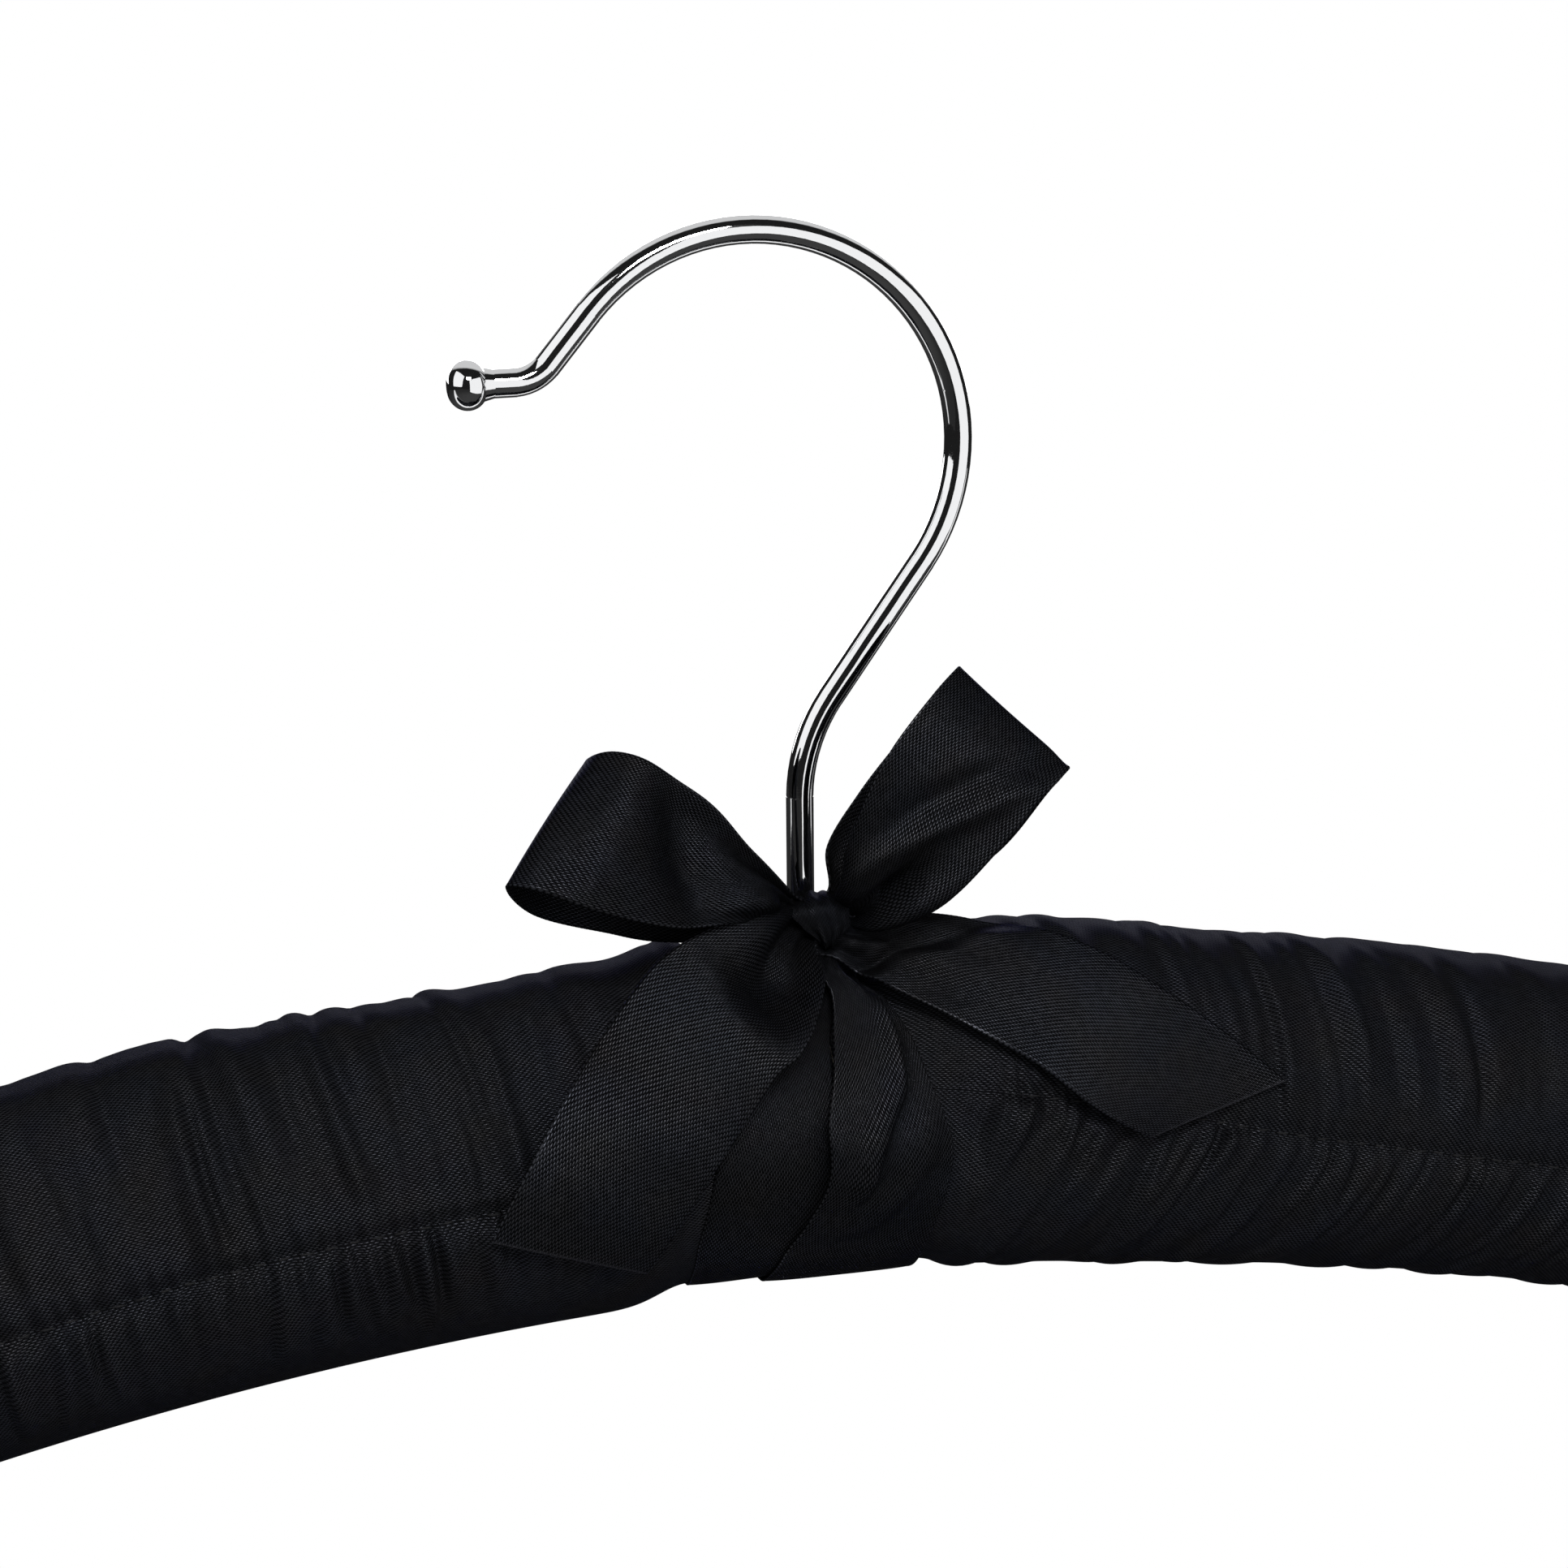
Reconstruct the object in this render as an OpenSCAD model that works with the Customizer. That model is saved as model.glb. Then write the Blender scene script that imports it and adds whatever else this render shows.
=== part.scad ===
// Padded clothes hanger: a bow-shaped wooden bar in two padding sleeves and two gathered satin
// covers, hung from a chrome wire hook that swivels, with a ribbon bow tied in front of the shank.
// Millimetres. X runs along the arms, -Y faces the front, +Z is up. The origin is where the rail
// touches the inside of the hook, straight above the shank.

/* [Hook] */
// Thickness of the hook's wire
wire_d = 3.5; // [2.5:0.1:5]
// Radius of the hook's round, at the middle of the wire
hook_r = 26.25; // [20:0.25:34]
// How far the round is wrapped over the rail, in degrees
hook_wrap = 175.7; // [150:1:190]
// Length of the straight slope between the neck and the round
slope_len = 20; // [12:1:34]
// Angle of that slope from upright
slope_angle = 35.5; // [28:0.5:42]
// Radius of the neck bend above the shank
neck_r = 22.5; // [12:0.5:32]
// Length of straight shank between the neck bend and the padding
shank_len = 19.7; // [17:0.1:40]
// Length of the straight stretch after the round
lip_run = 7.7; // [4:0.1:14]
// Radius of the lip's outward bend
lip_r = 5.5; // [4:0.5:10]
// Angle of the lip's outward bend
lip_angle = 49; // [20:1:70]
// Length of the lip up to the middle of its ball
lip_len = 5.6; // [4:0.2:12]
// Diameter of the ball end
ball_d = 6.1; // [5.2:0.1:9]
// Length of the ball end along the wire
ball_len = 4.8; // [4:0.1:5]

/* [Swivel] */
// Radial clearance between the shank and the bar's bore
swivel_play = 0.08; // [0.03:0.01:0.1]
// Nut size across its flats
nut_flats = 6; // [5.8:0.1:8]
// Thickness of the nut
nut_t = 2.8; // [2:0.1:4]
// Diameter of the washer under the bar
washer_d = 9; // [8:0.1:12]
// Thickness of the washer
washer_t = 0.8; // [0.5:0.1:1.4]
// Depth of the counterbore in the underside of the bar
pocket_depth = 7; // [6.2:0.1:9]
// Length of thread that shows below the nut
thread_end = 1.2; // [0.6:0.1:1.8]

/* [Wooden bar] */
// Radius of the bow that the arms follow
bow_r = 480; // [420:5:700]
// Length of the bar along the bow, from the middle to the centre of an end
bar_arc = 158; // [110:1:165]
// Height of the bar
bar_h = 24; // [21:0.5:26]
// Thickness of the bar
bar_t = 12; // [10:0.5:14]
// Chamfer on the bar's long edges
bar_chamfer = 2.5; // [1:0.5:4]

/* [Padding] */
// Width of the whole hanger
overall_w = 380; // [360:5:440]
// Diameter of the padding beside the bow
pad_d = 44.2; // [43:0.1:52]
// How much thinner the padding is at its ends, in diameter
pad_taper = 0.6; // [0:0.1:2]
// Thickness of satin and wadding over the foam
cover_t = 3; // [2.6:0.1:3.4]
// Thickness of the satin and wadding where the ribbon ties them down
tied_t = 0.6; // [0.5:0.1:0.8]
// Clearance between soft layers
soft_gap = 0.2; // [0.15:0.05:0.3]
// Clearance between the shank and the soft parts round it
shank_gap = 0.45; // [0.35:0.05:0.8]

/* [Gathers] */
// Distance from one gather of the satin to the next
gather_pitch = 6; // [5:0.5:12]
// Depth of the gathers
gather_depth = 0.9; // [0.2:0.1:1.2]
// How far the gathers wander along the arm on their way round
gather_wander = 2.4; // [0:0.2:3]
// How much the cloth is pulled in at the front seam
seam_pinch = 0.5; // [0:0.1:0.8]
// How far the right cover swells at the top, beside the ribbon
puff = 1.8; // [0:0.1:2.5]

/* [Ribbon] */
// Width of the ribbon
ribbon_w = 20; // [16:0.5:24]
// Thickness of the ribbon with its folds
ribbon_t = 0.6; // [0.4:0.05:0.7]
// Width of each turn where it passes the shank
bunch_w = 6; // [5:0.25:7]
// How far the turns lift off the padding towards the knot
knot_lift = 2.8; // [2:0.1:3.4]
// Width of the knot
knot_w = 6.6; // [6:0.1:8]
// Height of the knot
knot_h = 6.6; // [6:0.1:8]
// Depth of the knot
knot_deep = 5.6; // [5:0.1:7]
// How far the knot sits right of the shank's axis
knot_x = 1.3; // [0.8:0.1:1.8]
// Size of the loops, as a share of what suits the ribbon's width
loop_scale = 1; // [0.8:0.02:1.2]

/* [Hidden] */

chrome = "silver";
zinc = "lightsteelblue";
beech = "burlywood";
foam_white = "whitesmoke";
satin = [0.07, 0.07, 0.09];
ribbon_satin = [0.05, 0.05, 0.07];

// Hook: heights are counted from the foot of the neck bend, then moved so that the rail's seat,
// on the inside of the round straight above the shank, is at the origin.
wire_r = wire_d / 2;
slope_x = neck_r * (1 - cos(slope_angle)) + slope_len * sin(slope_angle);
slope_top = neck_r * sin(slope_angle) + slope_len * cos(slope_angle);
round_x = slope_x - hook_r * cos(slope_angle);
seat_rise = sqrt(pow(hook_r - wire_r, 2) - pow(round_x, 2));
neck_z = -(slope_top + hook_r * sin(slope_angle) + seat_rise);
round_z = neck_z + slope_top + hook_r * sin(slope_angle);
lip_heading = hook_wrap - slope_angle;
hair = 0.02;
wire_lap = 0.3;

// Arms: the bow's centre lies below; a tube round the bow has its centre line at the radius bow_r.
pad_r = pad_d / 2;
axis_z = neck_z - shank_len - pad_r;
bow_z = axis_z - bow_r;
tip_r = pad_r - pad_taper / 2;
tip_angle = asin((overall_w / 2 - tip_r) / bow_r);
tip_arc = tip_angle * bow_r * PI / 180;
foam_r = tip_r - cover_t;
middle_gap = 0.1;
cover_sides = 26;
tip_rings = 6;
tip_lean = 88;
// The lining's flats lie outside the round foam
lining_r = (foam_r + soft_gap) / cos(180 / cover_sides) / cos(tip_lean / 2 / tip_rings);
bar_angle = bar_arc / bow_r * 180 / PI;

// Swivel: counted down from the roof of the counterbore in the bar's underside.
pocket_z = axis_z - bar_h / 2 + pocket_depth;
washer_room = 1;
pocket_d = washer_d + washer_room;
bore_r = wire_r + swivel_play;
turn_gap = 0.1;
nut_z = pocket_z - washer_t - turn_gap - nut_t;
shank_end_z = nut_z - thread_end;

// Ribbon: the inner turn lies on the pinched covers, the outer turn lies over the inner one.
waist_r = lining_r + tied_t;
inner_turn_r = waist_r + soft_gap;
outer_turn_r = inner_turn_r + ribbon_t + soft_gap;
bunch_x = wire_r + shank_gap + bunch_w / 2;
knot_y = -(wire_r + shank_gap + knot_deep / 2);
knot_seat_r = outer_turn_r + ribbon_t + knot_lift;
knot_gap = 0.1;
knot_z = axis_z + sqrt(pow(knot_seat_r, 2) - pow(knot_y, 2)) + knot_h / 2 + knot_gap;

// ---- Helpers ----

// Value at t (0 to 1) on a smooth curve through the values of a list
function smooth(list, t) =
    let (
        last = len(list) - 1,
        i = min(floor(t * last), last - 1),
        f = t * last - i,
        a = list[max(i - 1, 0)],
        b = list[i],
        c = list[i + 1],
        d = list[min(i + 2, last)]
    )
    b + (c - a) * f / 2
    + (2 * a - 5 * b + 4 * c - d) * pow(f, 2) / 2
    + (3 * b - a - 3 * c + d) * pow(f, 3) / 2;

function unit(v) = v / norm(v);

// Value of a bump that is 1 at zero and dies out over the given width
function bump(x, width) = exp(-pow(x / width, 2));

// Point on or over the padding: along the bow by arc, round it by angle from the top (front is
// positive), at a distance from the bow's centre line
function on_pad(arc, angle, r) =
    let (
        turn = arc / bow_r * 180 / PI,
        out = bow_r + r * cos(angle)
    )
    [out * sin(turn), -r * sin(angle), bow_z + out * cos(turn)];

// Closed skin round a grid of points: rings of equal length, joined in order. The first and last
// rings are closed with a cap, or joined to each other when looped is true.
module skin(rings, looped = false) {
    count = len(rings);
    size = len(rings[0]);
    rows = looped ? count : count - 1;
    points = [for (ring = rings) each ring];
    sides = [
        for (i = [0 : rows - 1])
            let (k = (i + 1) % count)
            for (j = [0 : size - 1])
                let (m = (j + 1) % size)
                each [
                    [i * size + j, k * size + j, k * size + m],
                    [i * size + j, k * size + m, i * size + m]
                ]
    ];
    caps = looped ? [] : [
        [for (j = [0 : size - 1]) j],
        [for (j = [size - 1 : -1 : 0]) (count - 1) * size + j]
    ];
    polyhedron(points, concat(sides, caps), convexity = 6);
}

// Section of a strip of ribbon: points across one face and back across the other. The strip runs
// towards side, at right angles to face, and its edges bend away from face by sag ribbon widths.
function strip_section(middle, side, face, width, sag, across = 4) =
    let (
        steps = [for (i = [0 : across]) 2 * i / across - 1],
        half = ribbon_t / 2,
        bend = sag * ribbon_w
    )
    concat(
        [for (u = steps) middle + side * u * width / 2 - face * (half + bend * u * u)],
        [for (u = -steps) middle + side * u * width / 2 + face * (half - bend * u * u)]
    );

// Strip of ribbon swept through stations of [middle, side, width, sag]
module ribbon(stations, steps) {
    middles = [for (s = stations) s[0]];
    sides = [for (s = stations) unit(s[1])];
    widths = [for (s = stations) s[2]];
    sags = [for (s = stations) s[3]];
    rings = [
        for (i = [0 : steps])
            let (
                t = i / steps,
                ahead = smooth(middles, min(t + 0.01, 1)) - smooth(middles, max(t - 0.01, 0)),
                side = unit(smooth(sides, t)),
                face = unit(cross(ahead, side))
            )
            strip_section(smooth(middles, t), side, face, smooth(widths, t), smooth(sags, t))
    ];
    skin(rings);
}

// Solid of a profile, x outwards from the bow's centre, swept along the bow from the first angle
// to the second, both counted from the top towards the right
module along_bow(from, to) {
    translate([0, 0, bow_z])
        rotate([90, 0, 0])
            rotate([0, 0, 90 - to])
                rotate_extrude(angle = to - from, $fn = 360)
                    children();
}

// Moves children to the bow's centre line at an angle from the top, with X along the bow
module at_bow(angle) {
    translate([0, 0, bow_z])
        rotate([0, angle, 0])
            translate([0, 0, bow_r])
                children();
}

// ---- Hook ----

// One bend of wire in the XZ plane: starts at the origin heading up, turns right by angle. It is a
// hair thinner than the straights, which reach a little way into it.
module wire_bend(r, angle) {
    translate([r, 0, 0])
        rotate([90, 0, 0])
            rotate([0, 0, 180 - angle])
                rotate_extrude(angle = angle, $fn = 96)
                    translate([r, 0])
                        circle(r = wire_r - hair, $fn = 32);
}

module wire_straight(length) {
    translate([0, 0, -wire_lap])
        cylinder(r = wire_r, h = length + 2 * wire_lap, $fn = 32);
}

// Upset ball end: a ball pressed a little flat along the wire, on a short neck
module ball_end() {
    round_r = ball_len / 2;
    nose_r = (ball_d - ball_len) / 2;
    neck_len = wire_d * 0.35;
    translate([0, 0, -round_r - neck_len * 0.6])
        cylinder(d1 = wire_d + hair, d2 = (wire_d + ball_len) / 2, h = neck_len, $fn = 32);
    rotate_extrude($fn = 32) {
        translate([0, -round_r])
            square([nose_r, ball_len]);
        intersection() {
            translate([nose_r, 0])
                circle(r = round_r, $fn = 32);
            translate([0, -ball_d])
                square([ball_d, 2 * ball_d]);
        }
    }
}

module hook() {
    color(chrome)
        translate([0, 0, neck_z]) {
            translate([0, 0, shank_end_z - neck_z])
                wire_straight(neck_z - shank_end_z);
            wire_bend(neck_r, slope_angle);
            translate([neck_r * (1 - cos(slope_angle)), 0, neck_r * sin(slope_angle)])
                rotate([0, slope_angle, 0])
                    wire_straight(slope_len);
            translate([slope_x, 0, slope_top])
                rotate([0, slope_angle, 0])
                    mirror([1, 0, 0])
                        wire_bend(hook_r, hook_wrap);
            translate([round_x, 0, round_z - neck_z])
                rotate([0, -lip_heading, 0])
                    translate([hook_r, 0, 0])
                        lip();
        }
}

// Lip: straight stretch, outward bend and ball end, from the end of the round
module lip() {
    wire_straight(lip_run);
    translate([0, 0, lip_run]) {
        wire_bend(lip_r, lip_angle);
        translate([lip_r * (1 - cos(lip_angle)), 0, lip_r * sin(lip_angle)])
            rotate([0, lip_angle, 0]) {
                wire_straight(lip_len);
                translate([0, 0, lip_len])
                    ball_end();
            }
    }
}

module hook_nut() {
    color(zinc)
        translate([0, 0, nut_z])
            intersection() {
                difference() {
                    cylinder(d = nut_flats / cos(30), h = nut_t, $fn = 6);
                    translate([0, 0, -1])
                        cylinder(r = wire_r, h = nut_t + 2, $fn = 32);
                }
                nut_chamfer();
            }
}

// Turned shape that rounds off a nut's corners
module nut_chamfer() {
    corner = nut_flats / cos(30) / 2;
    edge = nut_flats / 2;
    drop = (corner - edge) * 0.6;
    rotate_extrude($fn = 48)
        polygon([
            [0, 0],
            [edge, 0],
            [corner, drop],
            [corner, nut_t - drop],
            [edge, nut_t],
            [0, nut_t]
        ]);
}

module hook_washer() {
    color(zinc)
        translate([0, 0, pocket_z - washer_t])
            difference() {
                cylinder(d = washer_d, h = washer_t, $fn = 48);
                translate([0, 0, -1])
                    cylinder(r = bore_r, h = washer_t + 2, $fn = 32);
            }
}

// ---- Wooden bar and padding ----

// The bar's shape, larger all round by grow: a chamfered bow with a round end on each arm. The
// rounds are a hair smaller than the bow that they are set into.
module bar_shape(grow) {
    r = bar_h / 2 + grow;
    t = bar_t / 2 + grow;
    c = bar_chamfer;
    end_r = r - hair;
    end_t = t - hair;
    along_bow(-bar_angle, bar_angle)
        translate([bow_r, 0])
            polygon([
                [-r, c - t],
                [c - r, -t],
                [r - c, -t],
                [r, c - t],
                [r, t - c],
                [r - c, t],
                [c - r, t],
                [-r, t - c]
            ]);
    for (end = [-1, 1])
        at_bow(end * bar_angle)
            rotate([90, 0, 0])
                rotate_extrude($fn = 64)
                    polygon([
                        [0, -end_t],
                        [end_r - c, -end_t],
                        [end_r, c - end_t],
                        [end_r, end_t - c],
                        [end_r - c, end_t],
                        [0, end_t]
                    ]);
}

module wood_core() {
    color(beech)
        difference() {
            bar_shape(0);
            translate([0, 0, axis_z - bar_h])
                cylinder(r = bore_r, h = 2 * bar_h, $fn = 32);
            translate([0, 0, pocket_z - bar_h])
                cylinder(d = pocket_d, h = bar_h, $fn = 48);
        }
}

// Round end of a padding sleeve, cut flat at its nose
module foam_end(r) {
    nose = r * 0.9;
    intersection() {
        sphere(r = r, $fn = 64);
        translate([0, 0, nose - 2 * r])
            cylinder(r = 2 * r, h = 2 * r, $fn = 32);
    }
}

// The padding sleeve of the right arm; the left one is its mirror image
module foam() {
    difference() {
        union() {
            along_bow(middle_gap / bow_r * 180 / PI, tip_angle)
                translate([bow_r, 0])
                    circle(r = foam_r, $fn = 48);
            at_bow(tip_angle)
                rotate([0, 90, 0])
                    foam_end(foam_r - soft_gap);
        }
        bar_shape(soft_gap);
        translate([0, 0, axis_z - 2 * foam_r])
            cylinder(r = wire_r + shank_gap, h = 4 * foam_r, $fn = 32);
        translate([0, 0, pocket_z - 2 * bar_h])
            cylinder(d = pocket_d, h = 2 * bar_h, $fn = 48);
    }
}

module foam_left() {
    color(foam_white)
        mirror([1, 0, 0])
            foam();
}

module foam_right() {
    color(foam_white)
        foam();
}

// ---- Turns of ribbon round the middle ----

// Each turn goes round the padding once. Its middle and its spread are given every 30 degrees,
// from the top over the front, the underside and the back. A spread of 0 is the bunched ribbon
// beside the shank and 1 is the full width.
left_middles = [-bunch_x, -3, -6.3, -8.1, -8.2, -8, -7, -6.5, -6.5, -7, -6.5, -5.9, -bunch_x];
left_spreads = [0, 0.03, 0.36, 0.7, 1, 1, 1, 1, 0.93, 0.7, 0.36, 0.08, 0];
right_middles = [bunch_x, 3.2, 4.9, 5.1, 2.2, 2, 3, 4.5, 6, 7, 6.5, 5.9, bunch_x];
right_spreads = [0, 0.03, 0.36, 0.82, 1, 1, 1, 1, 0.93, 0.7, 0.36, 0.08, 0];
knot_angle = asin(-knot_y / (outer_turn_r + knot_lift));
knot_spread = 11;

function turn_width(spreads, t) = bunch_w + (ribbon_w - bunch_w) * max(smooth(spreads, t), 0);

// Distance from the middle of the hanger to the outer edge of a turn
function turn_edge(middles, spreads, t) = abs(smooth(middles, t)) + turn_width(spreads, t) / 2;

// One turn of ribbon at a radius from the bow's centre line
module turn(middles, spreads, r, steps = 48, across = 4) {
    rings = [
        for (i = [0 : steps - 1])
            let (
                t = i / steps,
                angle = 360 * t,
                middle = smooth(middles, t),
                half = turn_width(spreads, t) / 2,
                base = r + knot_lift * bump(angle - knot_angle, knot_spread)
            )
            concat(
                [for (j = [0 : across]) on_pad(middle + half * (2 * j / across - 1), angle, base)],
                [
                    for (j = [across : -1 : 0])
                        on_pad(middle + half * (2 * j / across - 1), angle, base + ribbon_t)
                ]
            )
    ];
    skin(rings, looped = true);
}

module band_left() {
    color(ribbon_satin)
        turn(left_middles, left_spreads, inner_turn_r);
}

module band_right() {
    color(ribbon_satin)
        turn(right_middles, right_spreads, outer_turn_r);
}

// ---- Gathered covers ----

gathers = round(tip_arc / gather_pitch);
lining_rings = 12;
fade = 7;
notch_room = 0.3;
seam_angle = 86;
seam_spread = 9;

// Radius of the smooth padding at a distance along the arm and an angle from the top: thinner
// towards the tip, and swollen by swell at the top beside the ribbon
function pad_radius(arc, angle, swell) =
    pad_r - pad_taper / 2 * arc / tip_arc + swell / 2 * cos(angle) * bump(arc - ribbon_w, ribbon_w);

// How far the mouth of a cover stands back from the middle, with a notch at the top for the shank
function mouth(angle) = middle_gap + (abs(angle) < 1 ? wire_r + shank_gap + notch_room : 0);

// One ring round the outside of a cover. It is drawn in under the ribbon, whose edge lies at a
// distance that changes round the arm. crest is 1 on the crest of a gather, -1 in its valley.
function cover_ring(arc, crest, around, edges, phase, swell) = [
    for (i = [0 : len(around) - 1])
        let (
            angle = around[i],
            loose = arc < edges[i] ? 0 : 1 - bump(arc - edges[i], fade),
            front = bump(angle - seam_angle, seam_spread),
            wave = sin(angle * 2 + arc * 23 + phase) + 0.6 * sin(angle * 3 - arc * 11),
            shift = loose * gather_wander * 0.4 * wave * (1 - front),
            depth = loose * gather_depth * (0.32 + 0.18 * sin(angle * 3 + arc * 31 + phase)),
            full = waist_r + (pad_radius(arc, angle, swell) - waist_r) * loose
        )
        on_pad(max(arc + shift, mouth(angle)), angle, full + crest * depth - loose * seam_pinch * front)
];

// The grid of a right-hand cover: out along the outside from the mouth to the half-round tip,
// then back along the lining
function cover_rings(middles, spreads, phase, swell) =
    let (
        steps = [for (i = [0 : cover_sides - 1]) i < cover_sides / 2 ? i : i - cover_sides],
        around = 360 / cover_sides * steps,
        edges = [for (i = [0 : cover_sides - 1]) turn_edge(middles, spreads, i / cover_sides)],
        outer = [
            for (i = [0 : 2 * gathers])
                cover_ring(tip_arc * i / (2 * gathers), i % 2 == 0 ? 1 : -1, around, edges, phase, swell)
        ],
        tip = [
            for (i = [1 : tip_rings])
                let (lean = tip_lean * i / tip_rings)
                [for (a = around) on_pad(tip_arc + tip_r * sin(lean), a, tip_r * cos(lean))]
        ],
        lining_tip = [
            for (i = [tip_rings : -1 : 1])
                let (lean = tip_lean * i / tip_rings)
                [for (a = around) on_pad(tip_arc + lining_r * sin(lean), a, lining_r * cos(lean))]
        ],
        lining = [
            for (i = [lining_rings : -1 : 0])
                [for (a = around) on_pad(max(tip_arc * i / lining_rings, mouth(a)), a, lining_r)]
        ]
    )
    concat(outer, tip, lining_tip, lining);

module cover_left() {
    color(satin)
        mirror([1, 0, 0])
            skin(cover_rings(left_middles, left_spreads, 70, 0), looped = true);
}

module cover_right() {
    color(satin)
        skin(cover_rings(right_middles, right_spreads, 0, puff), looped = true);
}

// ---- Bow ----

knot = [knot_x, knot_y, knot_z];
root = knot_w / 2 + 0.4;
root_share = 0.66;

// Knot: a rounded block, narrower at its foot, with upright folds
module bow_knot() {
    rows = 10;
    columns = 20;
    rings = [
        for (i = [0 : rows])
            let (
                lean = -84 + 168 * i / rows,
                swell = pow(cos(lean), 0.6),
                narrow = 1 - 0.1 * (1 - sin(lean)) / 2
            )
            [
                for (j = [0 : columns - 1])
                    let (
                        a = 360 * j / columns,
                        fold = 1 + 0.035 * cos(a * 5),
                        square = pow(pow(abs(cos(a)), 3) + pow(abs(sin(a)), 3), -1 / 3)
                    )
                    knot + [
                        knot_w / 2 * narrow * swell * square * fold * cos(a),
                        knot_deep / 2 * swell * square * fold * sin(a),
                        knot_h / 2 * sin(lean)
                    ]
            ]
    ];
    color(ribbon_satin)
        skin(rings);
}

// Station of a loop: place from the knot's side in ribbon widths, and the width there as a share of
// the ribbon
function loop_station(hand, place, side, share, sag) =
    [knot + [hand * root, 0, 0] + place * loop_scale * ribbon_w, side, share * ribbon_w, sag];

// Loops: out from the knot in front, round the turn at the far end and back behind
module bow_loop_left() {
    color(ribbon_satin)
        ribbon([
            loop_station(-1, [0, -0.045, 0.1], [0, 0, -1], 0.15, 0.01),
            loop_station(-1, [-0.3, -0.19, 0.34], [-0.1, -0.2, -1], 0.42, 0),
            loop_station(-1, [-0.7, -0.44, 0.57], [-0.2, -0.25, -0.95], 0.79, 0),
            loop_station(-1, [-1.15, -0.605, 0.775], [-0.4, -0.4, -0.83], 0.95, 0.02),
            loop_station(-1, [-1.48, -0.55, 0.895], [-0.54, -0.5, -0.68], 1, 0.02),
            loop_station(-1, [-1.61, -0.33, 0.83], [-0.6, -0.55, -0.6], 1, 0.01),
            loop_station(-1, [-1.41, -0.055, 0.615], [-0.54, -0.37, -0.75], 0.97, 0),
            loop_station(-1, [-1.05, 0.07, 0.435], [-0.42, -0.23, -0.88], 0.87, 0),
            loop_station(-1, [-0.65, 0.07, 0.25], [-0.4, -0.14, -0.9], 0.7, 0),
            loop_station(-1, [0, 0.035, 0.035], [0, 0, -1], 0.2, 0.01)
        ], 26);
}

module bow_loop_right() {
    color(ribbon_satin)
        ribbon([
            loop_station(1, [0, -0.045, 0.095], [0, 0, -1], 0.18, 0.01),
            loop_station(1, [0.05, -0.21, 0.24], [0.54, 0.18, -0.82], 0.5, 0),
            loop_station(1, [0.25, -0.38, 0.495], [0.67, 0.1, -0.74], 0.85, 0),
            loop_station(1, [0.47, -0.43, 0.81], [0.69, 0.09, -0.72], 1, 0.02),
            loop_station(1, [0.78, -0.355, 1.13], [0.71, 0.04, -0.71], 1, 0.02),
            loop_station(1, [1.02, -0.18, 1.26], [0.74, 0, -0.68], 1, 0.01),
            loop_station(1, [0.95, 0.02, 1.06], [0.72, 0, -0.69], 1, 0),
            loop_station(1, [0.675, 0.08, 0.71], [0.69, 0, -0.72], 1, 0),
            loop_station(1, [0.32, 0.08, 0.415], [0.57, 0, -0.82], 0.85, 0),
            loop_station(1, [0.08, 0.06, 0.2], [0.5, 0, -0.8], 0.45, 0),
            loop_station(1, [0, 0.035, 0.04], [0.2, 0, -0.95], 0.2, 0.01)
        ], 26);
}

// Station of a tail: place by arc along the arm, angle from the top and height over the padding,
// in ribbon widths; side is given along the arm, round it towards the front and outwards
function tail_station(arc, angle, lift, side, share, sag) =
    let (
        round_it = [0, -cos(angle), -sin(angle)],
        outwards = [0, -sin(angle), cos(angle)]
    )
    [
        on_pad(arc * ribbon_w, angle, pad_r + lift * ribbon_w),
        [side[0], 0, 0] + side[1] * round_it + side[2] * outwards,
        share * ribbon_w,
        sag
    ];

// Root of a tail at the knot's side: how far in front of the knot's middle and how far below it, as
// shares of the knot's depth and height
function tail_root(hand, front, down, side) =
    [knot + [hand * root, -front * knot_deep, -down * knot_h], side, root_share * knot_h, 0];

// Tails: from below the knot's sides, down over the front of the padding
module bow_tail_left() {
    color(ribbon_satin)
        ribbon([
            tail_root(-1, 0.427, 0.02, [0.25, -0.2, -0.95]),
            tail_station(-0.245, 25.5, 0.315, [0.56, 0.6, -0.57], 0.6, -0.02),
            tail_station(-0.455, 34, 0.3, [0.65, 0.71, -0.25], 0.88, 0),
            tail_station(-0.615, 39.5, 0.295, [0.65, 0.75, -0.12], 1, 0.02),
            tail_station(-0.78, 44, 0.255, [0.66, 0.75, -0.06], 1, 0.045),
            tail_station(-1.05, 57, 0.145, [0.73, 0.68, 0], 1, 0.05),
            tail_station(-1.285, 71, 0.125, [0.79, 0.61, 0], 1, 0.04),
            tail_station(-1.53, 87, 0.12, [0.88, 0.47, 0], 1, 0.02),
            tail_station(-1.77, 103, 0.13, [0.94, 0.34, 0], 1, 0.01)
        ], 20);
}

module bow_tail_right() {
    color(ribbon_satin)
        ribbon([
            tail_root(1, 0.43, 0.39, [-0.2, -0.18, -0.96]),
            tail_station(0.34, 19, 0.185, [-0.5, 0.66, -0.57], 0.42, 0),
            tail_station(0.515, 20.5, 0.18, [-0.55, 0.75, -0.36], 0.6, -0.015),
            tail_station(0.825, 26, 0.165, [-0.56, 0.81, -0.15], 0.8, -0.04),
            tail_station(1.15, 33, 0.155, [-0.62, 0.78, 0], 0.97, -0.06),
            tail_station(1.5, 43, 0.14, [-0.64, 0.76, 0.05], 1, -0.06),
            tail_station(1.85, 57, 0.13, [-0.73, 0.64, 0.15], 1, -0.045),
            tail_station(2.375, 75, 0.13, [-0.95, 0.25, 0.1], 1, -0.015)
        ], 20);
}

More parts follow.
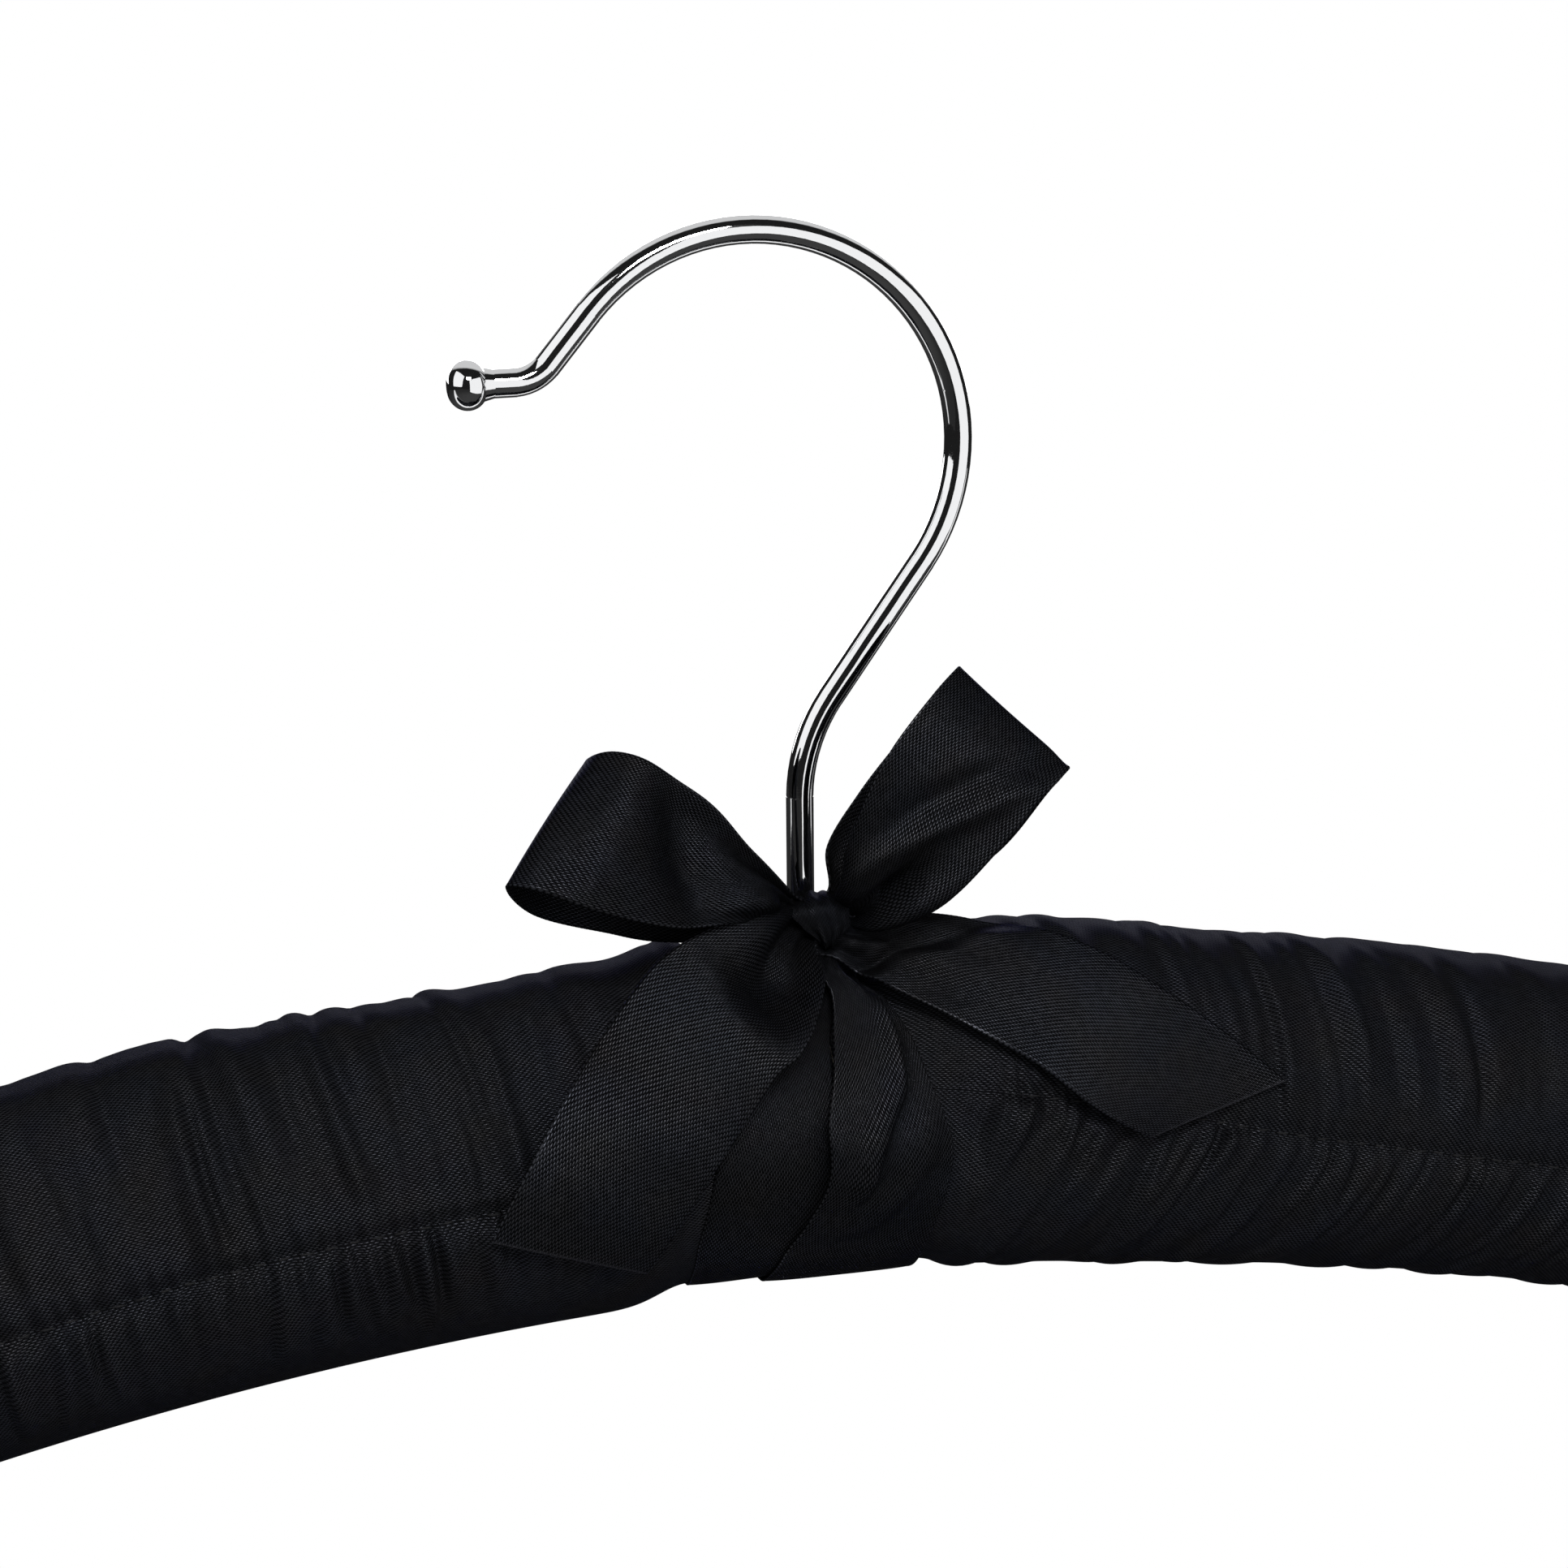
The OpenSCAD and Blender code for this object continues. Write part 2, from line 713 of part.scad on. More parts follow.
hook();
hook_nut();
hook_washer();
wood_core();
foam_left();
foam_right();
cover_left();
cover_right();
band_left();
band_right();
bow_knot();
bow_loop_left();
bow_loop_right();
bow_tail_left();
bow_tail_right();
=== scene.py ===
"""Dresses the frame of a padded clothes hanger: chrome hook, gathered satin covers, ribbon bow."""

import math

import bmesh
import bpy
import numpy as np
from bpy.props import FloatProperty, FloatVectorProperty, PointerProperty
from mathutils import Matrix, Vector


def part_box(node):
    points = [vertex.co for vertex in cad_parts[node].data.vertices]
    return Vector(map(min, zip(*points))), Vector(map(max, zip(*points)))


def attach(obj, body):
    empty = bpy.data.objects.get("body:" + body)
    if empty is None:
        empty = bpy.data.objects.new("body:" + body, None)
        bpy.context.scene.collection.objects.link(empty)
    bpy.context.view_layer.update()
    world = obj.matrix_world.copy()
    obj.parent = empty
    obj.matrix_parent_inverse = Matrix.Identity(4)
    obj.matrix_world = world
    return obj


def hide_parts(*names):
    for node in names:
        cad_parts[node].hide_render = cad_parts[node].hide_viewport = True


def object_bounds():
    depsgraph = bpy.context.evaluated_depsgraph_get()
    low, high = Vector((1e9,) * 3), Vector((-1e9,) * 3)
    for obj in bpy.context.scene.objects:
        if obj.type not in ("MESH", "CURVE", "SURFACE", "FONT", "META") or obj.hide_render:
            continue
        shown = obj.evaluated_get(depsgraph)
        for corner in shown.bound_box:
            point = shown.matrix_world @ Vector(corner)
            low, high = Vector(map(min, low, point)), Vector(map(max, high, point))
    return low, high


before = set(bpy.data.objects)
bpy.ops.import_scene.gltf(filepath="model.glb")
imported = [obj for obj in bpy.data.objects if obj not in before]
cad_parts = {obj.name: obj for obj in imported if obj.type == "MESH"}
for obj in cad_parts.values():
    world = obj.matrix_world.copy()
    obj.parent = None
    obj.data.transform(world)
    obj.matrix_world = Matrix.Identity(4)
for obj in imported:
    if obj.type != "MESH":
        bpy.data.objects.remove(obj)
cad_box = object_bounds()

bl_info = {
    "name": "Padded Hanger",
    "version": (1, 0, 0),
    "blender": (4, 5, 0),
    "location": "View3D > Sidebar > Hanger",
    "description": "Dresses the hanger with a chrome hook, gathered satin covers and a ribbon bow",
    "category": "Add Mesh",
}

MM = 0.001
CLOTH_MAP = "Cloth"
CUT_MARK = "cut_end"


# ---- Sizes and colours that a user may change ----


def length_prop(name, description, default, least=0.0, precision=4):
    """A length in metres"""
    return FloatProperty(
        name=name, description=description, default=default, min=least, unit="LENGTH",
        precision=precision)


def angle_prop(name, description, degrees):
    """An angle, given in degrees"""
    return FloatProperty(
        name=name, description=description, default=math.radians(degrees), unit="ROTATION")


def colour_prop(name, description, default):
    """A colour, as shares of red, green and blue"""
    return FloatVectorProperty(
        name=name, description=description, default=default, subtype="COLOR", size=3,
        min=0.0, max=1.0)


class HangerSizes(bpy.types.PropertyGroup):
    """Sizes that the padding and the ribbon share with the frame"""

    bow_radius: length_prop("Bow radius", "Radius of the bow that the arms follow", 0.480, 0.2)
    bar_height: length_prop(
        "Bar height", "Height of the wooden bar inside the padding", 0.024, 0.01)
    pad_diameter: length_prop(
        "Padding", "Diameter of the padded arm beside the ribbon", 0.0442, 0.02)
    pad_taper: length_prop("Taper", "How much thinner the arm is at its end, in diameter", 0.0006)
    waist_radius: length_prop(
        "Waist", "Radius of the cover where the ribbon ties it down", 0.0199, 0.01)
    lining_radius: length_prop("Lining", "Radius of the inside of the cover", 0.0193, 0.01)
    shank_room: length_prop(
        "Shank room", "Radius of the hole in the cover for the hook's shank", 0.0024, 0.001)


class HangerCover(bpy.types.PropertyGroup):
    """Gathers, seam and colour of the covers"""

    fold_height: length_prop("Fold height", "Height of the highest gathers", 0.0013)
    fold_pitch: length_prop(
        "Fold pitch", "Mean distance from one gather to the next", 0.0068, 0.002)
    seam_depth: length_prop("Seam depth", "How deep the front seam pulls the cloth in", 0.0007)
    seam_angle: angle_prop("Seam angle", "Where the front seam runs, counted from the top", 90.0)
    stitch_pitch: length_prop(
        "Stitch pitch", "Distance from one stitch to the next", 0.0028, 0.001)
    stitch_length: length_prop(
        "Stitch length", "Length of a stitch on top of the cloth", 0.0019, 0.0005)
    thread: length_prop("Thread", "Thickness of the sewing thread", 0.00032, 0.0001, precision=5)
    colour: colour_prop("Colour", "Colour of the satin", (0.0069, 0.0072, 0.0083))


class HangerRibbon(bpy.types.PropertyGroup):
    """Width, thickness and colour of the ribbon"""

    width: length_prop("Width", "Width of the ribbon", 0.020, 0.005)
    thickness: length_prop("Thickness", "Thickness of the ribbon", 0.00028, 0.0001, precision=5)
    inner_turn: length_prop(
        "Inner turn", "Radius of the inner turn round the middle", 0.02025, 0.01, precision=5)
    outer_turn: length_prop(
        "Outer turn", "Radius of the outer turn round the middle", 0.02105, 0.01, precision=5)
    knot_lift: length_prop(
        "Knot lift", "How far the turns rise off the padding under the knot", 0.0060)
    colour: colour_prop("Colour", "Colour of the ribbon", (0.0066, 0.0069, 0.0079))


class HangerMetal(bpy.types.PropertyGroup):
    """Finish of the metal parts"""

    chrome_colour: colour_prop("Chrome", "Colour of the plated hook", (0.86, 0.865, 0.875))
    chrome_roughness: FloatProperty(
        name="Chrome roughness", description="Roughness of the plated hook",
        default=0.045, min=0.0, max=1.0)
    zinc_colour: colour_prop("Zinc", "Colour of the nut and the washer", (0.56, 0.58, 0.62))


class HangerStage(bpy.types.PropertyGroup):
    """Camera, lamps and floor"""

    azimuth: angle_prop("Azimuth", "Turn of the camera from straight in front", -14.11)
    elevation: angle_prop("Elevation", "Height angle of the camera", 13.72)
    roll: angle_prop("Roll", "Tilt of the camera about its line of sight", -0.54)
    distance: length_prop(
        "Distance", "Distance from the camera to the point it looks at", 0.377, 0.05)
    lens: FloatProperty(
        name="Lens", description="Focal length on a sensor 36 mm wide",
        default=68.78, min=10.0, unit="CAMERA")
    floor_drop: length_prop("Floor drop", "How far the floor lies below the hanging part", 0.45)
    lamp_level: FloatProperty(
        name="Lamp level", description="Brightness of the soft lamps' faces",
        default=1.0, min=0.0)


# ---- Shader maths ----


def by_node(operation, swapped=False):
    """A method of Wire that adds a Math node, with its two values swapped or not"""
    def method(wire, *others):
        values = (wire, *others)
        return wire.graph.maths(operation, *(values[::-1] if swapped else values))
    return method


class Wire:
    """A node's output on which Python's operators add Math nodes"""

    def __init__(self, graph, socket):
        self.graph = graph
        self.socket = socket

    __add__ = __radd__ = by_node("ADD")
    __sub__, __rsub__ = by_node("SUBTRACT"), by_node("SUBTRACT", swapped=True)
    __mul__ = __rmul__ = by_node("MULTIPLY")
    __truediv__, __pow__ = by_node("DIVIDE"), by_node("POWER")
    __gt__, __lt__ = by_node("GREATER_THAN"), by_node("LESS_THAN")
    floor, fract, size = by_node("FLOOR"), by_node("FRACT"), by_node("ABSOLUTE")


class Graph:
    """The node tree of a material or of the world, filled in from Python"""

    def __init__(self, owner):
        owner.use_nodes = True
        self.owner, self.tree = owner, owner.node_tree
        self.tree.nodes.clear()

    def node(self, kind, inputs=None, output=0, **settings):
        """Adds a node with its settings and inputs, and returns one of its outputs"""
        made = self.tree.nodes.new(kind)
        for name, value in settings.items():
            setattr(made, name, value)
        for name, value in (inputs or {}).items():
            if isinstance(value, Wire):
                self.tree.links.new(value.socket, made.inputs[name])
            else:
                made.inputs[name].default_value = value
        return Wire(self, made.outputs[output]) if made.outputs else None

    def maths(self, operation, *values):
        return self.node("ShaderNodeMath", dict(enumerate(values)), operation=operation)

    def blend(self, share, first, second):
        """Colour between two colours"""
        return self.node("ShaderNodeMix", {0: share, 6: first, 7: second}, 2, data_type="RGBA")

    def ramp(self, value, low, high, start, end):
        """From start to end while the value goes from low to high"""
        return self.node("ShaderNodeMapRange", {0: value, 1: low, 2: high, 3: start, 4: end})

    def dot(self, spot, way):
        return self.node("ShaderNodeVectorMath", {0: spot, 1: way}, 1, operation="DOT_PRODUCT")

    def place(self):
        """Object coordinates"""
        return self.node("ShaderNodeTexCoord", output="Object")

    def noise(self, spot, scale, detail=2.0):
        return self.node("ShaderNodeTexNoise", {"Vector": spot, "Scale": scale, "Detail": detail})

    def cells(self, spot, scale, output="Distance"):
        return self.node("ShaderNodeTexVoronoi", {"Vector": spot, "Scale": scale}, output)

    def cloth_place(self):
        """Across and along the cloth, in millimetres, and the plain map"""
        spot = self.node("ShaderNodeUVMap", uv_map=CLOTH_MAP)
        across, along = (self.node("ShaderNodeSeparateXYZ", {0: spot}, part) for part in (0, 1))
        return across / MM, along / MM, spot

    def bump(self, height, distance):
        return self.node(
            "ShaderNodeBump", {"Strength": 1.0, "Distance": distance, "Height": height})

    def finish(self, surface):
        """Ends the tree in its output and returns the material"""
        self.node("ShaderNodeOutputMaterial", {"Surface": surface})
        return self.owner

    def principled(self, **inputs):
        """Ends the tree in a Principled shader and returns the material"""
        named = {name.replace("_", " "): value for name, value in inputs.items()}
        return self.finish(self.node("ShaderNodeBsdfPrincipled", named))


def new_material(name):
    """The node tree of a new material"""
    return Graph(bpy.data.materials.new(name))


def rgba(colour, level=1.0):
    return tuple(min(level * part, 1.0) for part in colour) + (1.0,)


def satin(name, colour, thread, gap_shade_and_glint, roughness, metallic, selvedge=None):
    """Satin: floats along the cloth, each row's set two fifths further than the last.
    The two levels given are those of the gaps, painted darker as painted shade between the floats,
    and of the floats' crowns, painted brighter as a painted glint, both as shares of the colour."""
    float_length, row_shift, wander = thread * 3, 0.4, 0.22
    graph = new_material(name)
    across, along, spot = graph.cloth_place()
    slack = graph.noise(spot, 260.0)
    across = across + (slack - 0.5) * wander
    row = across / thread
    step = (along / float_length + row.floor() * row_shift).fract()
    crown = 1 - (step * 2 - 1) ** 2
    ridge = 1 - (row.fract() * 2 - 1) ** 2
    weave = crown * ridge
    yarn = graph.noise(spot, 900.0, 3.0)
    shade = graph.noise(graph.place(), 60.0, 3.0)
    height = weave + yarn * 0.3
    if selvedge:
        rim = across.size() > selvedge
        height = height * (1 - rim) + (yarn + 0.4) * rim
    # Painted glint and painted shade: the floats' crowns are painted brighter and the gaps between
    # them darker. The yarn and the slow noise only vary the tone at random.
    light = (weave * weave * 1.3 + (yarn - 0.5) * 0.5) * (0.7 + shade * 0.6)
    patch = (graph.noise(graph.place(), 130.0) - 0.5) * 1.8 + 0.5
    warm, cool = ([share * tone for share, tone in zip(colour, tones)]
                  for tones in ((1.06, 1.0, 0.92), (0.95, 0.99, 1.09)))
    # Colours of the painted shade in the gaps and of the painted glint on the crowns, warmer or
    # cooler at random in patches
    shaded_gap, crest = (graph.blend(patch, rgba(warm, level), rgba(cool, level)) for level in gap_shade_and_glint)
    tint = graph.blend(light, shaded_gap, crest)
    if selvedge:
        cut = graph.node("ShaderNodeAttribute", {}, "Fac", attribute_name=CUT_MARK)
        tint = graph.blend(cut * (0.25 + yarn), tint, (0.030, 0.030, 0.035, 1.0))
    return graph.principled(
        Base_Color=tint, Metallic=metallic,
        Roughness=roughness + (1 - weave) * 0.16 + (shade - 0.5) * 0.10,
        Specular_IOR_Level=0.0, Specular_Tint=(0.30, 0.30, 0.34, 1.0),
        Normal=graph.bump(height, 0.00008))


def chrome(name, colour, roughness):
    """Bright plating over drawn wire: faint draw lines, slow waves and a few pits"""
    graph = new_material(name)
    spot = graph.place()
    waves = graph.noise(spot, 90.0)
    grain = graph.noise(spot, 2600.0)
    pits, pit_size = graph.cells(spot, 520.0), 0.10
    pit = (pit_size - pits).size() * (pits < pit_size) * (graph.noise(spot, 45.0, 1.0) > 0.55)
    smudge = graph.noise(spot, 30.0, 4.0)
    return graph.principled(
        Base_Color=graph.blend(smudge, rgba(colour, 0.94), rgba(colour)), Metallic=1.0,
        Roughness=roughness + (smudge - 0.5) * 0.03 + pit * 2.0,
        Normal=graph.bump(waves * 1.2 + grain * 0.02 - pit * 2.0, 0.00012))


def zinc(name, colour):
    """Zinc plating: soft spangle and fine turning marks"""
    graph = new_material(name)
    spot = graph.place()
    spangle = graph.cells(spot, 1500.0, "Color")
    grain = graph.noise(spot, 4000.0, 3.0)
    return graph.principled(
        Base_Color=graph.blend(spangle, rgba(colour, 0.8), rgba(colour, 1.1)), Metallic=1.0,
        Roughness=0.34 + grain * 0.12, Normal=graph.bump(grain, 0.00002))


def beech(name):
    """Planed beech: long grain along the bar with short dark flecks"""
    graph = new_material(name)
    along = graph.node("ShaderNodeMapping", {0: graph.place(), "Scale": (8.0, 60.0, 60.0)})
    grain = graph.noise(along, 9.0, 4.0)
    flecks = graph.noise(along, 70.0)
    tint = graph.blend(grain, (0.52, 0.33, 0.19, 1.0), (0.72, 0.51, 0.32, 1.0))
    tint = graph.blend((flecks > 0.66) * 0.5, tint, (0.33, 0.19, 0.10, 1.0))
    return graph.principled(
        Base_Color=tint, Roughness=0.55 + grain * 0.2,
        Normal=graph.bump(grain + flecks * 0.4, 0.00015))


def foam(name):
    """Open-celled padding foam, slightly yellowed, with its pores painted darker as painted shade
    """
    graph = new_material(name)
    spot = graph.place()
    cells = graph.cells(spot, 900.0)
    tint = graph.blend(
        graph.noise(spot, 25.0, 3.0), (0.86, 0.83, 0.72, 1.0), (0.78, 0.71, 0.55, 1.0))
    # Painted shade: the colour darkens towards each cell's middle, where the bump dips into a pore
    shade = graph.blend(0.4, tint, (0.5, 0.45, 0.33, 1.0))
    return graph.principled(
        Base_Color=graph.blend(cells, shade, tint), Roughness=0.92,
        Normal=graph.bump(cells, 0.0004))


def sewing_thread(name):
    """Twisted black polyester thread"""
    graph = new_material(name)
    twist = graph.noise(graph.place(), 3000.0)
    return graph.principled(
        Base_Color=graph.blend(twist, (0.002, 0.002, 0.0024, 1), (0.007, 0.007, 0.008, 1)),
        Roughness=0.5 + twist * 0.2, Specular_IOR_Level=0.12, Normal=graph.bump(twist, 0.00005))


def ribbon_satin(look):
    """The ribbon's satin, made once"""
    name = "Ribbon Satin"
    return bpy.data.materials.get(name) or satin(
        name, look.colour, thread=0.26, gap_shade_and_glint=(0.3, 4.0), roughness=0.27, metallic=0.80,
        selvedge=9.75)


# ---- Shapes ----


def smooth(values, where):
    """Values on a smooth curve through a list (Catmull-Rom), at places from 0 to 1"""
    values = np.asarray(values, float)
    where = np.clip(np.asarray(where, float), 0.0, 1.0)
    last = len(values) - 1
    i = np.minimum(np.floor(where * last).astype(int), last - 1)
    f = where * last - i
    a, b = values[np.maximum(i - 1, 0)], values[i]
    c, d = values[i + 1], values[np.minimum(i + 2, last)]
    if values.ndim > 1:
        f = f[..., None]
    return (2 * b + (c - a) * f + (2 * a - 5 * b + 4 * c - d) * f**2
            + (3 * b - a - 3 * c + d) * f**3) / 2


def bump(x, width):
    """1 at zero, dying out over the width"""
    return np.exp(-((np.asarray(x, float) / width) ** 2))


def ease(x):
    """Smooth step from 0 to 1"""
    x = np.clip(x, 0.0, 1.0)
    return x * x * (3 - 2 * x)


def unit(vectors):
    return vectors / np.maximum(np.linalg.norm(vectors, axis=-1, keepdims=True), 1e-9)


def way_along(points):
    """Length of the way along a row of points, up to each"""
    return np.concatenate([[0], np.cumsum(np.linalg.norm(np.diff(points, axis=0), axis=1))])


def together(*parts):
    """Points from their coordinates"""
    return np.stack(np.broadcast_arrays(*parts), -1)


def direction(azimuth, elevation):
    """Way from the middle, at an azimuth from straight in front and an elevation in radians"""
    level = math.cos(elevation)
    return Vector((math.sin(azimuth) * level, -math.cos(azimuth) * level, math.sin(elevation)))


class Arm:
    """Places on the padded arms, in millimetres and degrees"""

    def __init__(self, sizes):
        self.bow = sizes.bow_radius / MM
        self.axis_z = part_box("wood_core")[1].z / MM - sizes.bar_height / MM / 2
        self.centre_z = self.axis_z - self.bow
        self.pad = sizes.pad_diameter / MM / 2
        self.tip = self.pad - sizes.pad_taper / MM / 2
        half_width = (cad_box[1].x - cad_box[0].x) / MM / 2
        self.tip_arc = math.asin((half_width - self.tip) / self.bow) * self.bow
        self.waist, self.lining, self.hole = (
            radius / MM for radius in (sizes.waist_radius, sizes.lining_radius, sizes.shank_room))

    def point(self, arc, angle, radius):
        """Point at an arc along the bow, an angle from the top (front positive) and a radius"""
        turn, lean = np.asarray(arc) / self.bow, np.radians(angle)
        out = self.bow + radius * np.cos(lean)
        return together(
            out * np.sin(turn), -radius * np.sin(lean), self.centre_z + out * np.cos(turn))

    def mouth(self, angle):
        """How far a cover's mouth stands back from the middle, with a round notch for the shank"""
        reach = self.hole**2 - (self.waist * np.sin(np.radians(angle))) ** 2
        return 0.1 + np.where(np.cos(np.radians(angle)) > 0, np.sqrt(np.maximum(reach, 0)), 0)


def add_object(name, data):
    made = bpy.data.objects.new(name, data)
    bpy.context.scene.collection.objects.link(made)
    return made


def twin(model):
    """A copy with its own mesh"""
    copy = model.copy()
    copy.data = model.data.copy()
    bpy.context.scene.collection.objects.link(copy)
    return copy


def grid_piece(name, points, places, loop_rows=False, close_ends=None, cut=None):
    """Mesh from rings of points in millimetres, each ring closed, with the cloth map in metres.
    places has one column, and one row where the rings are looped, more than points."""
    rows, columns = points.shape[:2]
    mesh = bpy.data.meshes.new(name)
    i = np.arange(rows if loop_rows else rows - 1)[:, None]
    j = np.arange(columns)[None, :]
    k, m = (i + 1) % rows, (j + 1) % columns
    quads = together(i * columns + j, i * columns + m, k * columns + m, k * columns + j)
    spots = np.stack([places[i, j], places[i, j + 1], places[i + 1, j + 1], places[i + 1, j]], 2)
    faces, spots = quads.reshape(-1, 4).tolist(), spots.reshape(-1, 2).tolist()
    if close_ends:
        for ring, turned in ((0, True), (rows - 1, False)):
            for face in close_ends:
                face = face[::-1] if turned else face
                faces.append([ring * columns + corner for corner in face])
                spots.extend(places[ring, corner].tolist() for corner in face)
    mesh.from_pydata((points.reshape(-1, 3) * MM).tolist(), [], faces)
    layer = mesh.uv_layers.new(name=CLOTH_MAP)
    layer.data.foreach_set("uv", (np.array(spots) * MM).ravel())
    if cut is not None:
        mark = mesh.attributes.new(CUT_MARK, "FLOAT", "POINT")
        mark.data.foreach_set("value", cut.ravel().astype(np.float32))
    mesh.polygons.foreach_set("use_smooth", [True] * len(mesh.polygons))
    made = add_object(name, mesh)
    outwards(made)
    return made


def outwards(piece):
    """Turns all of a closed piece's faces outwards"""
    shell = bmesh.new()
    shell.from_mesh(piece.data)
    bmesh.ops.recalc_face_normals(shell, faces=shell.faces)
    shell.to_mesh(piece.data)
    shell.free()


# Edges of a cloth, in thicknesses: its bead, and how far its rounding reaches
BEAD, ROUNDING = 1.15, 0.6


def sheet_piece(name, middle, places, thickness, looped=False, cut=None):
    """Thin closed cloth round a grid of points, with rounded and slightly beaded edges"""
    if looped:
        ahead = np.roll(middle, -1, 0) - np.roll(middle, 1, 0)
    else:
        ahead = np.gradient(middle, axis=0)
    sideways = np.gradient(middle, axis=1)
    normal = unit(np.cross(ahead, sideways))
    rim = unit(sideways) * thickness * ROUNDING
    across = middle.shape[1]
    bead = np.ones(across)
    bead[[0, -1]] = BEAD
    half = normal * thickness / 2 * bead[None, :, None]
    points = np.concatenate([
        middle + half, middle[:, -1:] + rim[:, -1:], (middle - half)[:, ::-1],
        middle[:, :1] - rim[:, :1]], 1)
    start, end = places[:, :1], places[:, -1:]
    spots = np.concatenate([places, end, places[:, ::-1], start, start], 1)
    if looped:
        spots = np.concatenate([spots, spots[-1:] + (spots[-1:] - spots[-2:-1])], 0)
        return grid_piece(name, points, spots, loop_rows=True)
    total = 2 * across + 2
    ends = [[j, j + 1, total - 3 - j, total - 2 - j] for j in range(across - 1)]
    ends += [[across - 1, across, across + 1], [total - 1, 0, total - 2]]
    return grid_piece(
        name, points, spots, close_ends=ends, cut=np.repeat(cut[:, None], points.shape[1], 1))


def settle(piece, material, replaced=()):
    """Gives a finished piece its finish and its body"""
    piece.data.materials.clear()
    piece.data.materials.append(material)
    if replaced:
        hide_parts(*replaced)
    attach(piece, "hanger")


def finish_node(node, material):
    """Gives a CAD node its material"""
    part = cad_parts[node]
    part.data.materials.clear()
    part.data.materials.append(material)


def deselect_all():
    if bpy.context.mode != "OBJECT":
        bpy.ops.object.mode_set(mode="OBJECT")
    bpy.ops.object.select_all(action="DESELECT")


# ---- Covers ----

# Each turn of ribbon, from the top over the front: angle, middle and spread, where a spread of
# 0 is bunched and 1 is the full width
INNER_TURN = [
    (0, -5.2, 0), (12, -4.4, 0), (23, -1.2, 0), (32, -2.2, 0.1), (45, -4.4, 0.22),
    (60, -6.3, 0.42), (75, -7.4, 0.6), (90, -8.1, 0.74), (120, -8.2, 1), (150, -8.2, 1),
    (180, -7, 1), (210, -6.5, 1), (240, -6.5, 0.93), (270, -7, 0.7), (300, -6.5, 0.36),
    (330, -5.9, 0.08), (360, -5.2, 0)]
OUTER_TURN = [
    (0, 5.2, 0), (12, 4.6, 0), (23, 2, 0), (32, 4.2, 0.12), (45, 5, 0.30),
    (60, 5.2, 0.45), (75, 5.4, 0.64), (90, 5.9, 0.71), (102, 5.1, 0.77), (113, 3.9, 0.85),
    (126, 2.6, 0.92), (150, 2.2, 1), (180, 3, 1), (210, 4.5, 1), (240, 6, 0.93), (270, 7, 0.7),
    (300, 6.5, 0.36), (330, 5.9, 0.08), (360, 5.2, 0)]
# Width of the ribbon in millimetres where it is bunched and where it lies flat
BUNCHED, FULL_WIDTH = 5.2, 20.0
# Folds in the outer turn: a line of angle and place across, height and softness
OUTER_PANELS = [
    ([(26, 0.95), (35, 0.45), (47, 0.40), (64, 0.32), (77, -0.05), (88, -0.30), (107, -0.40)],
     1.3, 0.16),
    ([(70, 0.9), (85, 0.72), (100, 0.42), (112, 0.10), (122, -0.05)], 0.7, 0.35)]


def at_angle(rows, angle, column=1):
    """A column of rows at angles, which the first column holds, on a smooth curve"""
    rows = np.array(rows, float)
    place = np.interp(angle, rows[:, 0], np.linspace(0, 1, len(rows)))
    return smooth(rows[:, column], place)


def along_turn(turn, angle):
    """Middle and width of a turn of ribbon at angles from 0 to 360"""
    spread = np.clip(at_angle(turn, angle, 2), 0, 1)
    return at_angle(turn, angle), BUNCHED + (FULL_WIDTH - BUNCHED) * spread


class Folds:
    """Gathers of a cover, each a crest with a crease beside it. Around is counted in degrees
    from the front seam over the top, down the back and along the bottom to the seam again."""

    def __init__(self, chosen, seed, pitch, height, tip_arc, leans, under, below):
        draw = np.random.default_rng(seed)
        # Pitch, first arc, height, lean, widths, beginnings and ends of four kinds of gathers
        kinds = (
            (1.0, 7.0, 1.0, leans[0], (1.8, 3.6), (4, 22), (110, 230)),
            (0.55, 11.0, 0.32, leans[0], (0.8, 1.5), (0, 10), (25, 80)),
            (0.48, 9.0, 1.15, leans[1], (0.8, 1.5), (300, 338), (361, 362)),
            (1.1, 12.0, under, leans[1], (1.6, 3.2), below, (340, 361)))
        rows = [[*row] for row in chosen]
        for spacing, arc, share, lean, widths, begins, ends in kinds:
            while arc < tip_arc:
                rows.append([
                    arc, lean * draw.uniform(0.6, 1.35), draw.uniform(*widths),
                    height * share * draw.uniform(0.35, 1.0), draw.uniform(*begins),
                    draw.uniform(*ends), 1.0 if draw.random() < 0.7 else -1.0])
                arc += pitch * spacing * draw.uniform(0.55, 1.5)
        self.rows = np.array(rows)
        self.wanders = draw.uniform(-1.0, 1.0, (len(rows), 7))

    def height(self, arc, around):
        """Height of all gathers over a grid"""
        fade_in, fade_out, slow_fade_in, crease_depth = 14, 26, 30, 0.6
        total = np.zeros(np.broadcast(arc, around).shape)
        for row, wander in zip(self.rows, self.wanders):
            centre, lean, width, height, begin, end, side = row
            fade = 1 - ease((around - end + fade_out) / fade_out)
            inside = ease((around - begin) / fade_in) * fade
            if end > 359:
                inside = ease((around - begin) / slow_fade_in)
            line = centre + lean * np.where(around > 200, around - 360, around) / 90
            away = arc - line - smooth(wander, around / 360)
            swell = 0.75 + 0.25 * np.sin(np.radians(around) * 2.3 + centre)
            ridge = bump(away, width)
            crease = bump(away - side * width * 1.05, 0.3 * width + 0.25)
            total = total + height * inside * swell * (ridge - crease_depth * crease)
        return total * (1 - 0.4 * bump(around - 102, 28))


